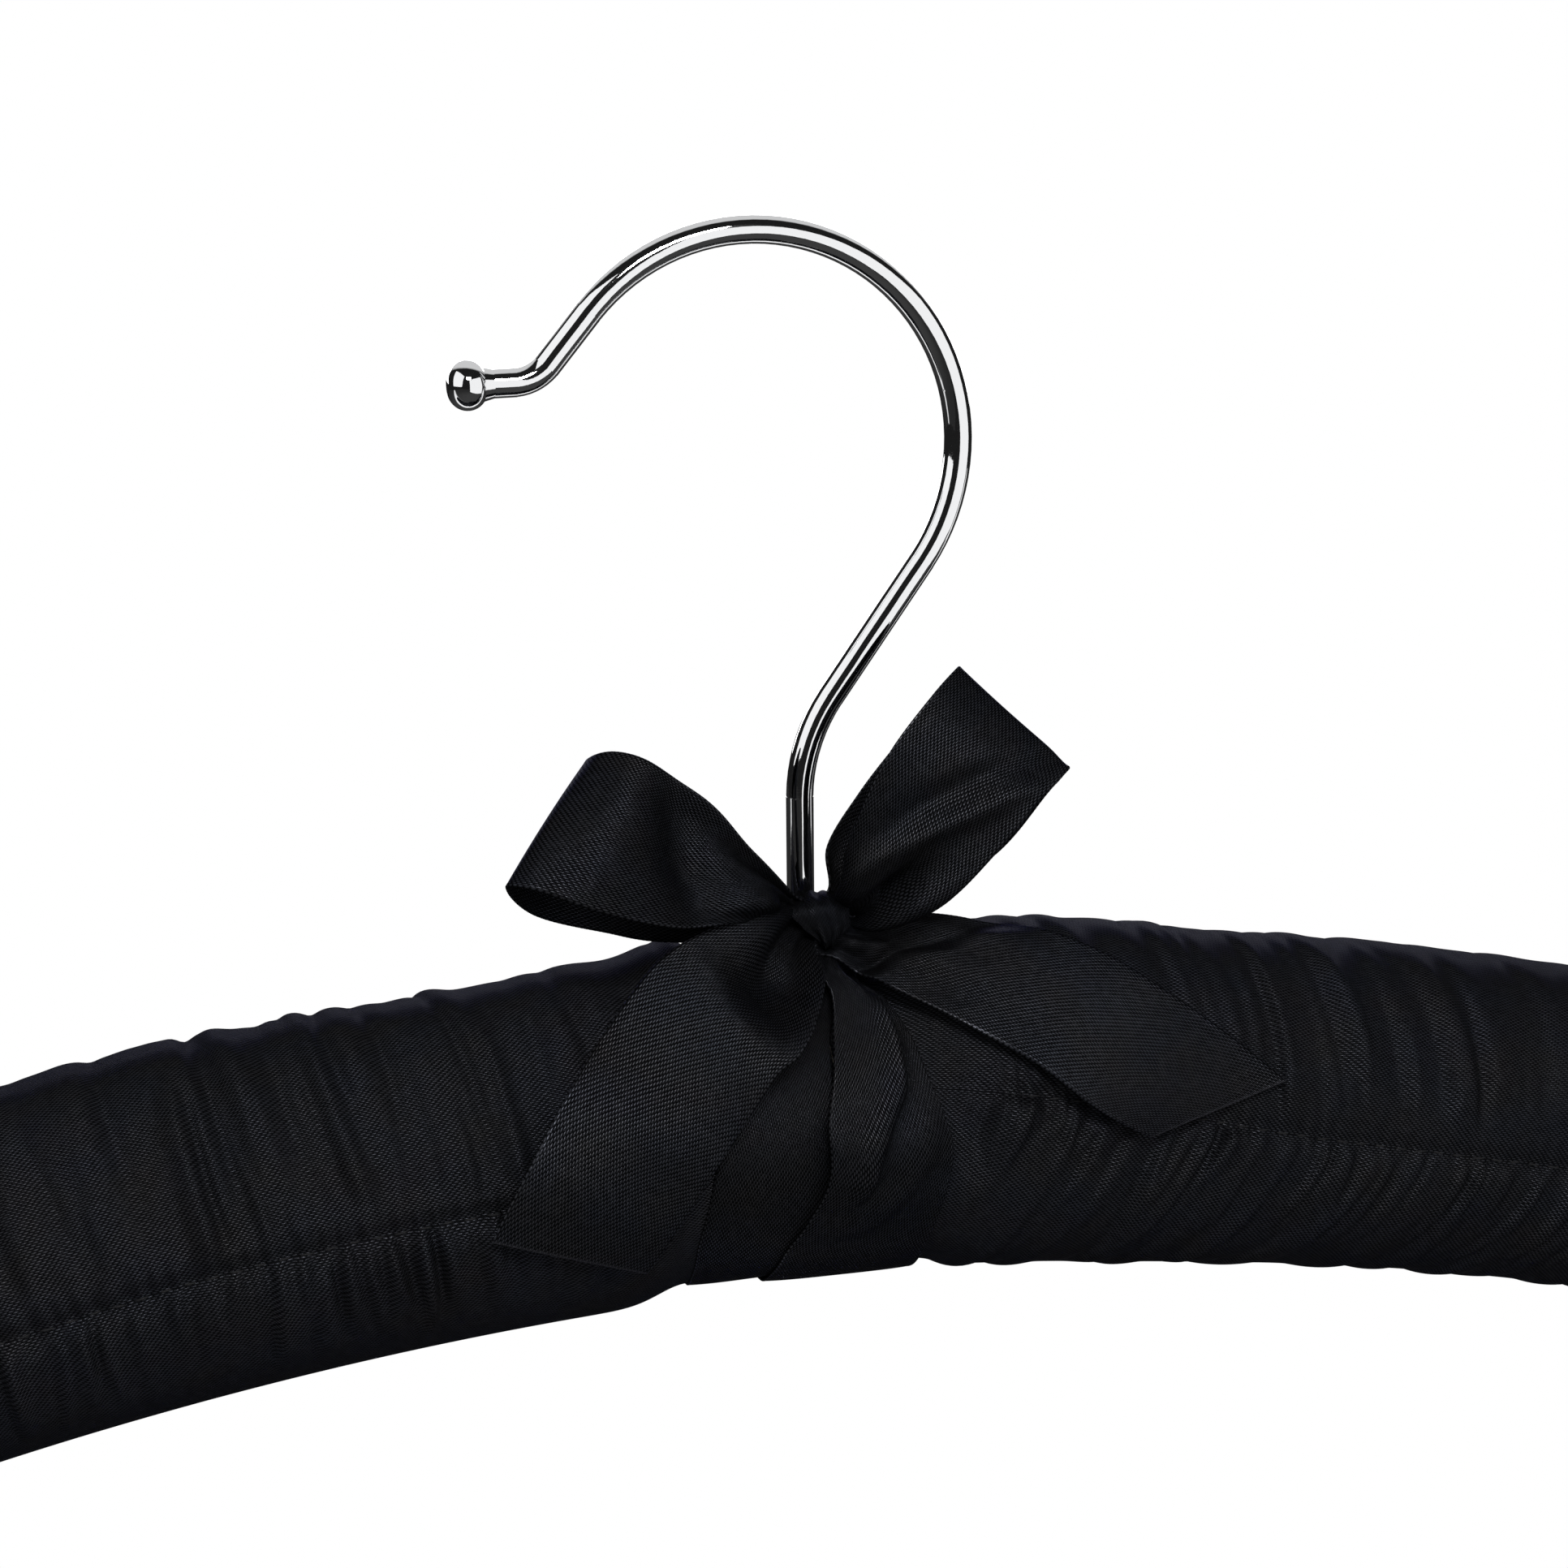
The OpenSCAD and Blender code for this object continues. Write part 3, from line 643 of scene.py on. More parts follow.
# Folds that show most: arc, lean, width, height, beginning, end and side of the crease
LEFT_FOLDS = [
    (76, 1.2, 1.5, 1.05, 1, 75, -1), (70, 1.5, 1.8, 0.5, 6, 150, 1),
    (86, 2, 2.6, 0.8, 4, 190, -1), (59, 3, 3, 0.8, 6, 170, 1),
    (49, 2.5, 2.4, 0.7, 6, 150, 1), (58.5, 2, 1.1, 1, 312, 361, 1),
    (55.5, 2.4, 1.1, 1.2, 316, 361, -1), (52.4, 1.6, 1, 0.9, 310, 361, 1),
    (49.6, 2, 1.2, 1.1, 316, 361, 1), (45.8, 2.4, 1.2, 0.9, 312, 361, 1),
    (63, 2, 1.2, 1, 314, 361, 1), (67.4, 2, 1.2, 0.8, 310, 361, 1)]
RIGHT_FOLDS = [
    (57.8, -1.5, 1.2, 0.9, 1, 100, -1), (54.2, -0.6, 0.9, 0.7, 1, 70, 1),
    (33.5, -5, 3, 1, 22, 190, -1), (68.6, -2.4, 2.6, 0.9, 16, 190, -1),
    (84, -6, 3, 0.9, 14, 200, -1), (19, -1, 2.2, 0.9, 325, 361, -1)]
# Angle of the front seam from the top, at every step in millimetres along the arm
SEAM_STEP = 20
LEFT_SEAM = [84, 87, 88, 88, 88.5, 90.5, 90.5, 90, 90, 90]
RIGHT_SEAM = [61, 68.5, 76.5, 84.5, 88.5, 90, 90, 90, 90, 90]


# For each hand: the ribbon beside the cover, the seam, the chosen folds and the seed of the
# others, their leans above and below, and the height and the beginnings of those underneath
COVER_SIDES = {
    -1: (INNER_TURN, LEFT_SEAM, LEFT_FOLDS, 5, (2.6, -2.5), 0.4, (298, 320)),
    1: (OUTER_TURN, RIGHT_SEAM, RIGHT_FOLDS, 11, (-2.5, 12.0), 1.0, (215, 285))}


def cover_surface(arm, look, hand):
    """Radius and angle of a cover's outside over a grid of arcs and of degrees round the seam"""
    ribbon, seam_line, chosen, seed, leans, under, below = COVER_SIDES[hand]
    folds = Folds(chosen, seed, look.fold_pitch / MM, look.fold_height / MM, arm.tip_arc, leans,
                  under, below)
    seam_shift, seam_end = math.degrees(look.seam_angle) - 90, SEAM_STEP * (len(seam_line) - 1)
    depth = look.seam_depth / MM

    def radius(arc, around):
        angle = smooth(seam_line, arc / seam_end) + seam_shift - around
        middle, width = along_turn(ribbon, angle % 360)
        edge = np.abs(middle) + width / 2
        loose = np.where(arc < edge, 0.0, 1 - bump(arc - edge, 5.5))
        top = np.cos(np.radians(angle))
        above = np.maximum(top, 0)
        near = np.minimum(around, 360 - around)
        pad = arm.pad - (arm.pad - arm.tip) * arc / arm.tip_arc
        phase = 2 * math.pi * arc / (look.stitch_pitch / MM)
        pucker = np.sin(phase + 1.5 * np.sin(arc * 0.6)) * bump(near - 2, 6.0)
        calm = 1 - 0.75 * bump(near, 2.5)
        if hand > 0:
            pad = pad + 0.9 * top * bump(arc - 20, 20) + 1.1 * above * bump(arc - 34, 17)
            pucker = pucker + 1.6 * bump(arc - 27, 9) * bump(near - 3, 9) * np.sin(
                arc * 3.3 + near * 0.5 + 2 * np.sin(arc * 0.9 - near * 0.16))
            calm = calm * (1 - 0.45 * bump(around - 100, 32) - 0.3 * bump(around - 285, 28))
        else:
            pad = pad - above * bump(arc - 50, 18) + 2.5 * above * bump(arc - 15, 5.5)
        full = arm.waist + (pad - arm.waist) * loose
        tuck = bump(near, 4.5)
        cloth = folds.height(arc, around) * calm - depth * tuck - 0.26 * depth * pucker
        return full + loose * cloth, angle

    return radius


def make_cover(arm, look, hand, name):
    """One gathered sock: outside, round tip and lining"""
    radius = cover_surface(arm, look, hand)
    columns, out_rows, tip_rows, lining_rows = 212, 372, 26, 14
    share, crowding = np.arange(columns) / columns, 26
    around = 360 * share - crowding * np.sin(2 * math.pi * share)
    arc, wide = np.meshgrid(np.linspace(0.0, arm.tip_arc, out_rows), around, indexing="ij")
    reach, angle = radius(arc, wide)
    out = arm.point(np.maximum(arc, arm.mouth(angle)), angle, reach)
    lean = np.radians(np.linspace(0, 89.6, tip_rows + 1)[1:])[:, None]
    last, last_angle = reach[-1][None, :], angle[-1][None, :]
    pull = 1 + 0.012 * np.sin(np.radians(last_angle) * 22) * np.sin(lean * 2)
    tip_reach = (last * np.cos(lean) ** 1.02) * pull
    tip = arm.point(arm.tip_arc + arm.tip * np.sin(lean), last_angle, tip_reach)
    lean_in = lean[::-3]
    lining_tip = arm.point(
        arm.tip_arc + arm.lining * np.sin(lean_in), last_angle, arm.lining * np.cos(lean_in))
    back = np.linspace(arm.tip_arc, 0.0, lining_rows)[:, None]
    mouth_angle = angle[0][None, :]
    lining = arm.point(np.maximum(back, arm.mouth(mouth_angle)), mouth_angle, arm.lining)
    points = np.concatenate([out, tip, lining_tip, lining], 0)
    if hand < 0:
        points = points * (-1, 1, 1)
    length = way_along(points[:, columns // 3])
    ring = np.append(around, 360.0) / 360 * 2 * math.pi * arm.pad
    places = together(ring[None, :], length[:, None])
    places = np.concatenate([places, places[-1:] + (0, 1)], 0)
    return grid_piece(name, points, places, loop_rows=True), radius


def make_stitches(arm, look, hand, radius, name):
    """Row of stitches along the seam, each a short thread whose ends dip into the cloth"""
    pitch, length = look.stitch_pitch / MM, look.stitch_length / MM
    thick, first_arc = look.thread / MM, 24.0
    lift, dip, tilt = 0.2, 0.55, 0.10
    deselect_all()
    bpy.ops.mesh.primitive_uv_sphere_add(segments=8, ring_count=8, radius=thick / 2 * MM)
    model = bpy.context.object
    stitches = []
    for k, arc in enumerate(np.arange(first_arc, arm.tip_arc - 1, pitch)):
        reach, angle = (float(v[0, 0]) for v in radius(np.array([[arc]]), np.zeros((1, 1))))
        foot = arm.point(arc, angle, reach + thick * lift)
        ahead = arm.point(arc + 0.5, angle, reach) - arm.point(arc - 0.5, angle, reach)
        out = arm.point(arc, angle, reach + 1) - arm.point(arc, angle, reach)
        ahead, out = ahead / np.linalg.norm(ahead), out / np.linalg.norm(out)
        if hand < 0:
            foot, ahead, out = (v * (-1, 1, 1) for v in (foot, ahead, out))
        side = np.cross(out, ahead)
        ahead = ahead + side * (tilt * math.sin(k * 2.4))
        copy = twin(model)
        for point in copy.data.vertices:
            run = point.co.x / (thick / 2 * MM)
            place = foot + ahead * run * length / 2 - out * run * run * thick * dip
            place = place + (side * point.co.y + out * point.co.z) / MM
            point.co = Vector(place * MM)
        stitches.append(copy)
    deselect_all()
    bpy.data.objects.remove(model)
    for copy in stitches:
        copy.select_set(True)
    bpy.context.view_layer.objects.active = stitches[0]
    bpy.ops.object.join()
    row = bpy.context.object
    row.name = name
    bpy.ops.object.shade_smooth()
    outwards(row)
    return row


# ---- Ribbon ----


def band_places(columns, length):
    """Cloth map of a strip: across from the middle and along from the start"""
    across = np.linspace(-FULL_WIDTH / 2, FULL_WIDTH / 2, columns)
    return together(across[None, :], length[:, None])


def make_turn(arm, look, name, turn, radius, rise, panels, seed):
    """One turn of ribbon round the middle, bunched beside the shank and pulled up to the knot.
    Panels are lines of (angle, across), left of which the cloth lies on top."""
    rows, columns = 420, 57
    where = np.arange(rows) / rows
    angle = (360 * where)[:, None]
    u = np.linspace(-1, 1, columns)[None, :]
    middle, width = along_turn(turn, angle)
    share = width / FULL_WIDTH
    lift = rise * look.knot_lift / MM * bump(angle - 22, 13) * (1 - 0.75 * ease((u + 0.1) / 0.7))
    bunch = ease((0.52 - share) / 0.36)
    pleats = 0.10 * bunch * np.cos(math.pi * 2.6 * (u + 1) + 1.2 * np.sin(3 * u) + seed)
    fine = 0.03 * bunch * np.cos(math.pi * 7 * (u + 1) + 0.02 * angle + 2 * np.sin(5 * u))
    crumple = 0.14 * np.sin(np.radians(angle) * 7 + u * 3 + seed) * (0.2 + bunch)
    press = -0.22 * u**4
    height = pleats + fine + crumple + press
    x = middle + u * width / 2
    for line, depth, soft in panels:
        fade = ease((angle - line[0][0]) / 14) * (1 - ease((angle - line[-1][0] + 12) / 12))
        past = u - at_angle(line, angle)
        ledge = 1 - ease((past + soft / 2) / soft)
        lip = bump(past + soft * 0.8, soft)
        height = height + fade * depth * (ledge - 0.35 + 0.45 * lip)
        x = x + fade * depth * 0.7 * bump(past, soft * 1.5)
    points = arm.point(x, angle, radius + lift + height)
    length = 2 * math.pi * radius
    places = band_places(columns, where * 2 * math.pi * radius)
    return sheet_piece(name, points, places, look.thickness / MM, looped=True), length


class Strip:
    """A strip of ribbon swept through stations of place, side, share of the width and sag"""

    def __init__(self, stations):
        rows, columns = 420, 37
        places, sides, shares, sags = (np.array(column, float) for column in zip(*stations))
        steps = np.linspace(0, 1, 2001)
        run = way_along(smooth(places, steps))
        self.length = float(run[-1])
        self.along = np.linspace(0, self.length, rows)
        self.t = np.interp(self.along, run, steps)
        self.middle = smooth(places, self.t)
        self.side = unit(smooth(unit(sides), self.t))
        ahead = unit(smooth(places, np.minimum(self.t + 0.01, 1))
                     - smooth(places, np.maximum(self.t - 0.01, 0)))
        self.face = unit(np.cross(ahead, self.side))
        self.share = np.clip(smooth(shares, self.t), 0.08, 1.02)
        self.sag = smooth(sags, self.t)
        self.u = np.linspace(-1, 1, columns)

    def piece(self, name, pleat_phase, dents, thickness, cut_far_end):
        """The cloth. A dent is (along, across, slant, reach along, reach across, depth), with
        along from 0 to 1, across from -1 to 1, and a positive depth towards the face."""
        pleat_count, pleat_depth = 2.5, 0.6
        tooth_depth, tooth_pitch, cut_reach = 0.012, 0.55, 0.22
        t, u = self.t[:, None], self.u[None, :]
        share = self.share[:, None]
        tooth = tooth_depth * np.sin(2 * math.pi * self.along / tooth_pitch)[:, None]
        x = u * (share * FULL_WIDTH / 2 + tooth * (np.abs(u) > 0.99))
        bunch = np.sqrt(np.maximum(0, 1 - share**2))
        pleats = bunch**1.5 * pleat_depth * np.cos(math.pi * pleat_count * (u + 1) + pleat_phase)
        height = pleats - self.sag[:, None] * FULL_WIDTH * u**2
        for along, across, slant, reach_along, reach_across, depth in dents:
            away = t - along - slant * (u - across)
            height = height + depth * bump(away, reach_along) * bump(u - across, reach_across)
        points = (self.middle[:, None] + self.side[:, None] * x[..., None]
                  + self.face[:, None] * height[..., None])
        cut = bump(self.along - self.length, cut_reach) * cut_far_end
        return sheet_piece(name, points, band_places(len(self.u), self.along), thickness, cut=cut)


def loop_stations(knot, hand, rows):
    """Stations of a loop, given from the knot's side in ribbon widths"""
    start = knot + (hand * KNOT_SIDE, 0, 0)
    return [(start + np.array(place) * FULL_WIDTH, side, share, sag)
            for place, side, share, sag in rows]


def tail_stations(arm, knot, roots, rows):
    """Stations of a tail: out of the knot, then by arc, angle and lift on the padding"""
    stations = [(knot + np.array(place), side, share, 0.0) for place, side, share in roots]
    for arc, angle, lift, (along, round_it, out), share, sag in rows:
        lean = math.radians(angle)
        forward = np.array([0, -math.cos(lean), -math.sin(lean)])
        upward = np.array([0, -math.sin(lean), math.cos(lean)])
        stations.append((
            arm.point(arc * FULL_WIDTH, angle, arm.pad + lift * FULL_WIDTH),
            np.array([along, 0, 0]) + round_it * forward + out * upward, share, sag))
    return stations


# Stations of the loops: place, side, share of the width and sag
LEFT_LOOP = [
    ([0.15, -0.02, 0.06], [0, 0, -1], 0.14, 0),
    ([-0.02, -0.05, 0.11], [0, 0, -1], 0.17, 0),
    ([-0.33, -0.32, 0.34], [-0.1, -0.2, -1], 0.42, 0),
    ([-0.715, -0.50, 0.57], [-0.2, -0.25, -0.95], 0.79, 0),
    ([-1.14, -0.57, 0.775], [-0.4, -0.4, -0.83], 0.95, 0.02),
    ([-1.465, -0.49, 0.895], [-0.54, -0.5, -0.68], 1, 0.02),
    ([-1.60, -0.30, 0.83], [-0.6, -0.55, -0.6], 1, 0.01),
    ([-1.41, -0.055, 0.615], [-0.54, -0.37, -0.75], 0.97, 0),
    ([-1.05, 0.07, 0.435], [-0.42, -0.23, -0.88], 0.87, 0),
    ([-0.65, 0.07, 0.25], [-0.4, -0.14, -0.9], 0.7, 0),
    ([-0.02, 0.035, 0.035], [0, 0, -1], 0.2, 0),
    ([0.15, 0.03, 0.03], [0, 0, -1], 0.16, 0)]
RIGHT_LOOP = [
    ([-0.15, -0.02, 0.06], [0, 0.1, -1], 0.14, 0),
    ([0, -0.07, 0.08], [0.1, 0.05, -1], 0.24, 0),
    ([0.04, -0.28, 0.24], [0.54, 0.18, -0.82], 0.59, 0),
    ([0.24, -0.42, 0.495], [0.67, 0.1, -0.74], 0.85, 0),
    ([0.47, -0.43, 0.81], [0.69, 0.09, -0.72], 1, 0.02),
    ([0.78, -0.355, 1.13], [0.71, 0.04, -0.71], 1, 0.02),
    ([1.02, -0.18, 1.26], [0.74, 0, -0.68], 1, 0.01),
    ([0.95, 0.02, 1.06], [0.72, 0, -0.69], 1, 0),
    ([0.675, 0.08, 0.71], [0.69, 0, -0.72], 1, 0),
    ([0.32, 0.08, 0.415], [0.57, 0, -0.82], 0.85, 0),
    ([0.066, 0.08, 0.21], [0.63, 0, -0.77], 0.60, 0),
    ([-0.06, 0.055, 0.05], [0.4, 0, -0.9], 0.30, 0),
    ([-0.2, 0.03, 0.03], [0.2, 0, -0.95], 0.2, 0)]
# First stations of the tails beside the knot, in millimetres: place, side and share
LEFT_ROOTS = [
    ([-1.3, 0, -0.1], [0.2, -0.1, -0.97], 0.30), ([-3.3, -1.7, 0.2], [0.30, -0.2, -0.93], 0.32)]
RIGHT_ROOTS = [
    ([-0.9, -1.4, -1.3], [-0.4, -0.3, -0.85], 0.30),
    ([1.75, -2.8, -1.5], [-0.45, -0.33, -0.82], 0.29)]
# Stations of the tails: arc and lift in ribbon widths with the angle between, side, share, sag
LEFT_TAIL = [
    (-0.245, 25.5, 0.315, (0.56, 0.6, -0.57), 0.6, -0.02),
    (-0.455, 34, 0.3, (0.65, 0.71, -0.25), 0.88, 0),
    (-0.615, 39.5, 0.295, (0.65, 0.75, -0.12), 1, 0.02),
    (-0.78, 44, 0.255, (0.66, 0.75, -0.06), 1, 0.045),
    (-1.05, 57, 0.145, (0.73, 0.68, 0), 1, 0.05),
    (-1.285, 71, 0.125, (0.79, 0.61, 0), 1, 0.04),
    (-1.53, 87, 0.12, (0.88, 0.47, 0), 1, 0.02),
    (-1.77, 103, 0.13, (0.94, 0.34, 0), 1, 0.01)]
RIGHT_TAIL = [
    (0.34, 19, 0.185, (-0.5, 0.66, -0.57), 0.42, 0),
    (0.515, 20.5, 0.18, (-0.55, 0.75, -0.36), 0.6, -0.015),
    (0.825, 26, 0.165, (-0.56, 0.81, -0.15), 0.8, -0.04),
    (1.15, 33, 0.155, (-0.62, 0.78, 0), 0.97, -0.06),
    (1.5, 43, 0.14, (-0.64, 0.76, 0.05), 1, -0.06),
    (1.85, 57, 0.13, (-0.73, 0.64, 0.15), 1, -0.045),
    (2.375, 75, 0.13, (-0.95, 0.25, 0.1), 1, -0.015)]


# Dents and swellings of the ribbons: along, across, slant, reach along, reach across, depth
LEFT_LOOP_DENTS = [
    (0.275, -0.05, -0.03, 0.045, 1, -4.2), (0.18, 0.30, 0.04, 0.045, 0.5, 3),
    (0.20, -0.75, 0, 0.05, 0.4, -1), (0.115, 0.55, 0, 0.02, 0.4, -1.8),
    (0.385, -0.1, 0, 0.045, 0.9, 1.6), (0.70, 0.2, 0.03, 0.05, 0.8, -0.8)]
RIGHT_LOOP_DENTS = [
    (0.14, -0.42, 0.04, 0.09, 0.40, -3.2), (0.19, 0.25, 0.08, 0.06, 0.24, 3.2),
    (0.20, 0.78, 0.03, 0.06, 0.26, -1.6), (0.31, 0.15, 0.16, 0.028, 0.8, -1.1),
    (0.37, 0.15, 0.16, 0.035, 0.8, 0.9), (0.70, 0.1, 0.02, 0.05, 0.8, 0.6)]
LEFT_TAIL_DENTS = [
    (0.27, 0.16, 0.02, 0.15, 0.56, -4.3), (0.25, 0.95, 0, 0.15, 0.24, 1.6),
    (0.20, -0.80, 0, 0.09, 0.30, 1.2), (0.48, 0.1, 0.10, 0.13, 1.2, 1.3),
    (0.84, 0.4, 0, 0.09, 0.7, -0.5)]
RIGHT_TAIL_DENTS = [
    (0.075, 0.35, 0, 0.03, 0.40, 1.5), (0.17, 0.30, -0.03, 0.05, 0.30, -1.6),
    (0.27, 0, 0, 0.08, 0.20, -0.8), (0.20, -0.60, 0, 0.12, 0.32, 1.6),
    (0.36, 0.1, -0.15, 0.045, 1.2, 0.9), (0.47, 0.1, -0.15, 0.06, 1.2, -1.1)]
# Edges of the knot, from its front over the top, the back and the foot
KNOT_LEFT = [-3.0, -4.6, -4.8, -3.8, -3.8, -3.8, -2.4, -0.6, -1.1, -3.0]
KNOT_RIGHT = [2.8, 2.8, 2.8, 2.8, 3.0, 2.8, 1.6, 0.6, 1.5, 2.8]
# The knot's mean radius, half its depth and its height, and how far to the side the loops leave it
KNOT_RADIUS, KNOT_DEPTH, KNOT_HEIGHT, KNOT_SIDE = 3.1, 2.75, 2.55, 3.7
# Thickness of the knot's cloth in ribbon thicknesses
KNOT_CLOTH = 1.2


def make_knot(look, knot, name):
    """The wrap round the bow's middle: flat on top, drawn to a point at its foot, with one edge
    folded over the other"""
    rows, columns = 160, 61
    turn = np.arange(rows) / rows
    a = (2 * math.pi * turn)[:, None]
    u = np.linspace(-1, 1, columns)[None, :]
    left, right = (smooth(edge, turn)[:, None] for edge in (KNOT_LEFT, KNOT_RIGHT))
    x = (left + right) / 2 + u * (right - left) / 2
    up, front = np.sin(a), np.cos(a)
    square = (np.abs(front) ** 4 + np.abs(up) ** 4) ** (-1 / 4)
    brink = -0.40 + 0.10 * up
    over = ease((u - brink + 0.10) / 0.20)
    lip = bump(u - brink - 0.12, 0.12)
    pleats = 0.13 * np.cos(u * 14 + 1.2 * up) * (1 - u**2)
    swell = 0.5 * over + 0.15 * lip + 0.12 * (1 - u**2) + pleats
    pinch = 0.22 * np.cos(u * 9 + a * 1.5) * bump(a - 5.2, 0.8)
    curl = 0.3 * np.maximum(np.abs(u) - 0.80, 0) ** 1.5 / 0.2**1.5
    reach = swell + pinch - curl
    y = -(KNOT_DEPTH * square + reach) * front
    z = (KNOT_HEIGHT * square + reach) * up
    points = together(knot[0] + x, knot[1] + y, knot[2] + z)
    ring = 2 * math.pi * KNOT_RADIUS
    thickness = look.thickness / MM * KNOT_CLOTH
    wrap = sheet_piece(name, points, band_places(columns, turn * ring), thickness, looped=True)
    return wrap, ring


# ---- Stage ----

# The camera's sensor in millimetres and its clipping distances in metres
SENSOR_WIDTH = 36.0
CLIP = (0.01, 50.0)
# Point that the camera looks at, and the point that the lamps stand round
TARGET = Vector((-2.03, 0.0, -66.45)) * MM
LAMP_CENTRE = Vector((0.0, 0.0, -0.07))
# Name, azimuth, elevation, distance, width, height and share of the lamp level
LAMPS = [
    ("Left Softbox", -70.0, 26.0, 1.00, 1.10, 0.95, 1.05),
    ("Right Softbox", 42.0, 1.0, 1.00, 1.60, 1.25, 1.02),
    ("Key", -4.0, 38.0, 0.95, 0.36, 0.20, 38.0),
    ("Back Softbox", 176.0, 12.0, 1.00, 1.50, 0.50, 3.20)]
WHITE = (1, 1, 1, 1)
RAYS = ("Is Camera Ray", "Is Glossy Ray", "Is Transmission Ray")
# Way from the middle of the part to the pale sweep behind and above it
SWEEP_WAY = (0.17, 0.66, 0.73)
# Levels of the world: its light on the part, and in gloss the dim room and the sweep
WORLD_LIGHT, ROOM_GLOSS, SWEEP_GLOSS = 0.75, 0.012, 0.68
SWEEP_EDGE = (0.66, 0.76)
# The floor: its size, its shadow's reach and depth, and the strip behind that is pale in gloss
FLOOR_SIZE, FLOOR_GLOSS = 5.0, 0.6
SHADOW_REACH, SHADOW_DEPTH = (0.15, 0.75), 0.45
STRIP_START, STRIP_END = (-0.14, 0.06), (0.2, 0.3)


class HANGER_OT_stage(bpy.types.Operator):
    """Sets up the camera, the soft lamps, the world and the floor"""

    bl_idname = "hanger.stage"
    bl_label = "Stage"

    def execute(self, context):
        stage = context.scene.hanger_stage
        self.add_camera(context, stage)
        self.add_lamps(stage)
        self.add_world(context)
        self.add_floor(stage)
        context.scene.view_settings.view_transform = "Standard"
        return {"FINISHED"}

    def add_camera(self, context, stage):
        a, roll = stage.azimuth, stage.roll
        back = direction(a, stage.elevation)
        right = Vector((math.cos(a), math.sin(a), 0))
        up = back.cross(right)
        side = right * math.cos(roll) + up * math.sin(roll)
        rise = -right * math.sin(roll) + up * math.cos(roll)
        data = bpy.data.cameras.new("Camera")
        data.sensor_width = SENSOR_WIDTH
        data.lens = stage.lens
        data.clip_start, data.clip_end = CLIP
        camera = add_object("Camera", data)
        turned = Matrix((side, rise, back)).transposed().to_4x4()
        camera.matrix_world = Matrix.Translation(TARGET + back * stage.distance) @ turned
        context.scene.camera = camera

    def add_lamps(self, stage):
        for name, azimuth, elevation, distance, wide, high, share in LAMPS:
            way = direction(math.radians(azimuth), math.radians(elevation))
            data = bpy.data.lights.new(name, "AREA")
            data.shape = "RECTANGLE"
            data.size, data.size_y = wide, high
            data.energy = stage.lamp_level * share * wide * high * math.pi
            lamp = add_object(name, data)
            lamp.location = LAMP_CENTRE + way * distance
            lamp.rotation_euler = way.to_track_quat("Z", "Y").to_euler()

    def add_world(self, context):
        world = bpy.data.worlds.new("Studio")
        context.scene.world = world
        graph = Graph(world)
        camera, glossy, _ = (graph.node("ShaderNodeLightPath", output=ray) for ray in RAYS)
        rear = graph.dot(graph.node("ShaderNodeTexCoord", output="Generated"), SWEEP_WAY)
        room = graph.ramp(rear, *SWEEP_EDGE, ROOM_GLOSS, SWEEP_GLOSS)
        level = camera + (1 - camera) * (glossy * room + (1 - glossy) * WORLD_LIGHT)
        shade = graph.node("ShaderNodeBackground", {"Color": WHITE, "Strength": level})
        graph.node("ShaderNodeOutputWorld", {"Surface": shade})

    def add_floor(self, stage):
        deselect_all()
        depth = cad_box[0].z - stage.floor_drop
        bpy.ops.mesh.primitive_plane_add(size=FLOOR_SIZE, location=(0, 0, depth))
        floor = bpy.context.object
        floor.name = "floor"
        bpy.ops.object.transform_apply(location=True, rotation=True, scale=True)
        graph = new_material("Pale Floor")
        camera, glossy, clear = (graph.node("ShaderNodeLightPath", output=ray) for ray in RAYS)
        flat = graph.node(
            "ShaderNodeVectorMath", {0: graph.place(), 1: (1, 1, 0)}, operation="MULTIPLY")
        away = graph.node("ShaderNodeVectorMath", {0: flat}, 1, operation="LENGTH")
        rear = graph.dot(flat, (0, 1, 0))
        shadow = graph.ramp(away, *SHADOW_REACH, SHADOW_DEPTH, 0.0)
        behind = graph.ramp(rear, *STRIP_START, 0.0, 1.0) * graph.ramp(rear, *STRIP_END, 1.0, 0.0)
        seen = graph.maths("MINIMUM", camera + clear, 1.0)
        glow = seen * (1 - shadow) + glossy * behind * FLOOR_GLOSS
        speck = graph.noise(graph.place(), 40.0, 4.0)
        pale = graph.blend(speck, (0.90, 0.90, 0.90, 1), (0.93, 0.93, 0.93, 1))
        matt = graph.node("ShaderNodeBsdfDiffuse", {
            "Color": graph.blend(glossy * (1 - behind), pale, (0.03, 0.03, 0.03, 1))})
        bright = graph.node("ShaderNodeEmission", {"Color": WHITE, "Strength": 1.0})
        mixed = graph.node("ShaderNodeMixShader", {0: glow, 1: matt, 2: bright})
        floor.data.materials.append(graph.finish(mixed))


# ---- The hanger's pieces ----


class HANGER_OT_hook(bpy.types.Operator):
    """Plates the hook, and finishes the nut and the washer under the bar"""

    bl_idname = "hanger.hook"
    bl_label = "Hook"

    def execute(self, context):
        metal = context.scene.hanger_metal
        bright = chrome("Chrome", metal.chrome_colour, metal.chrome_roughness)
        finish_node("hook", bright)
        plated = zinc("Zinc Plate", metal.zinc_colour)
        for node in ("hook_nut", "hook_washer"):
            finish_node(node, plated)
        return {"FINISHED"}


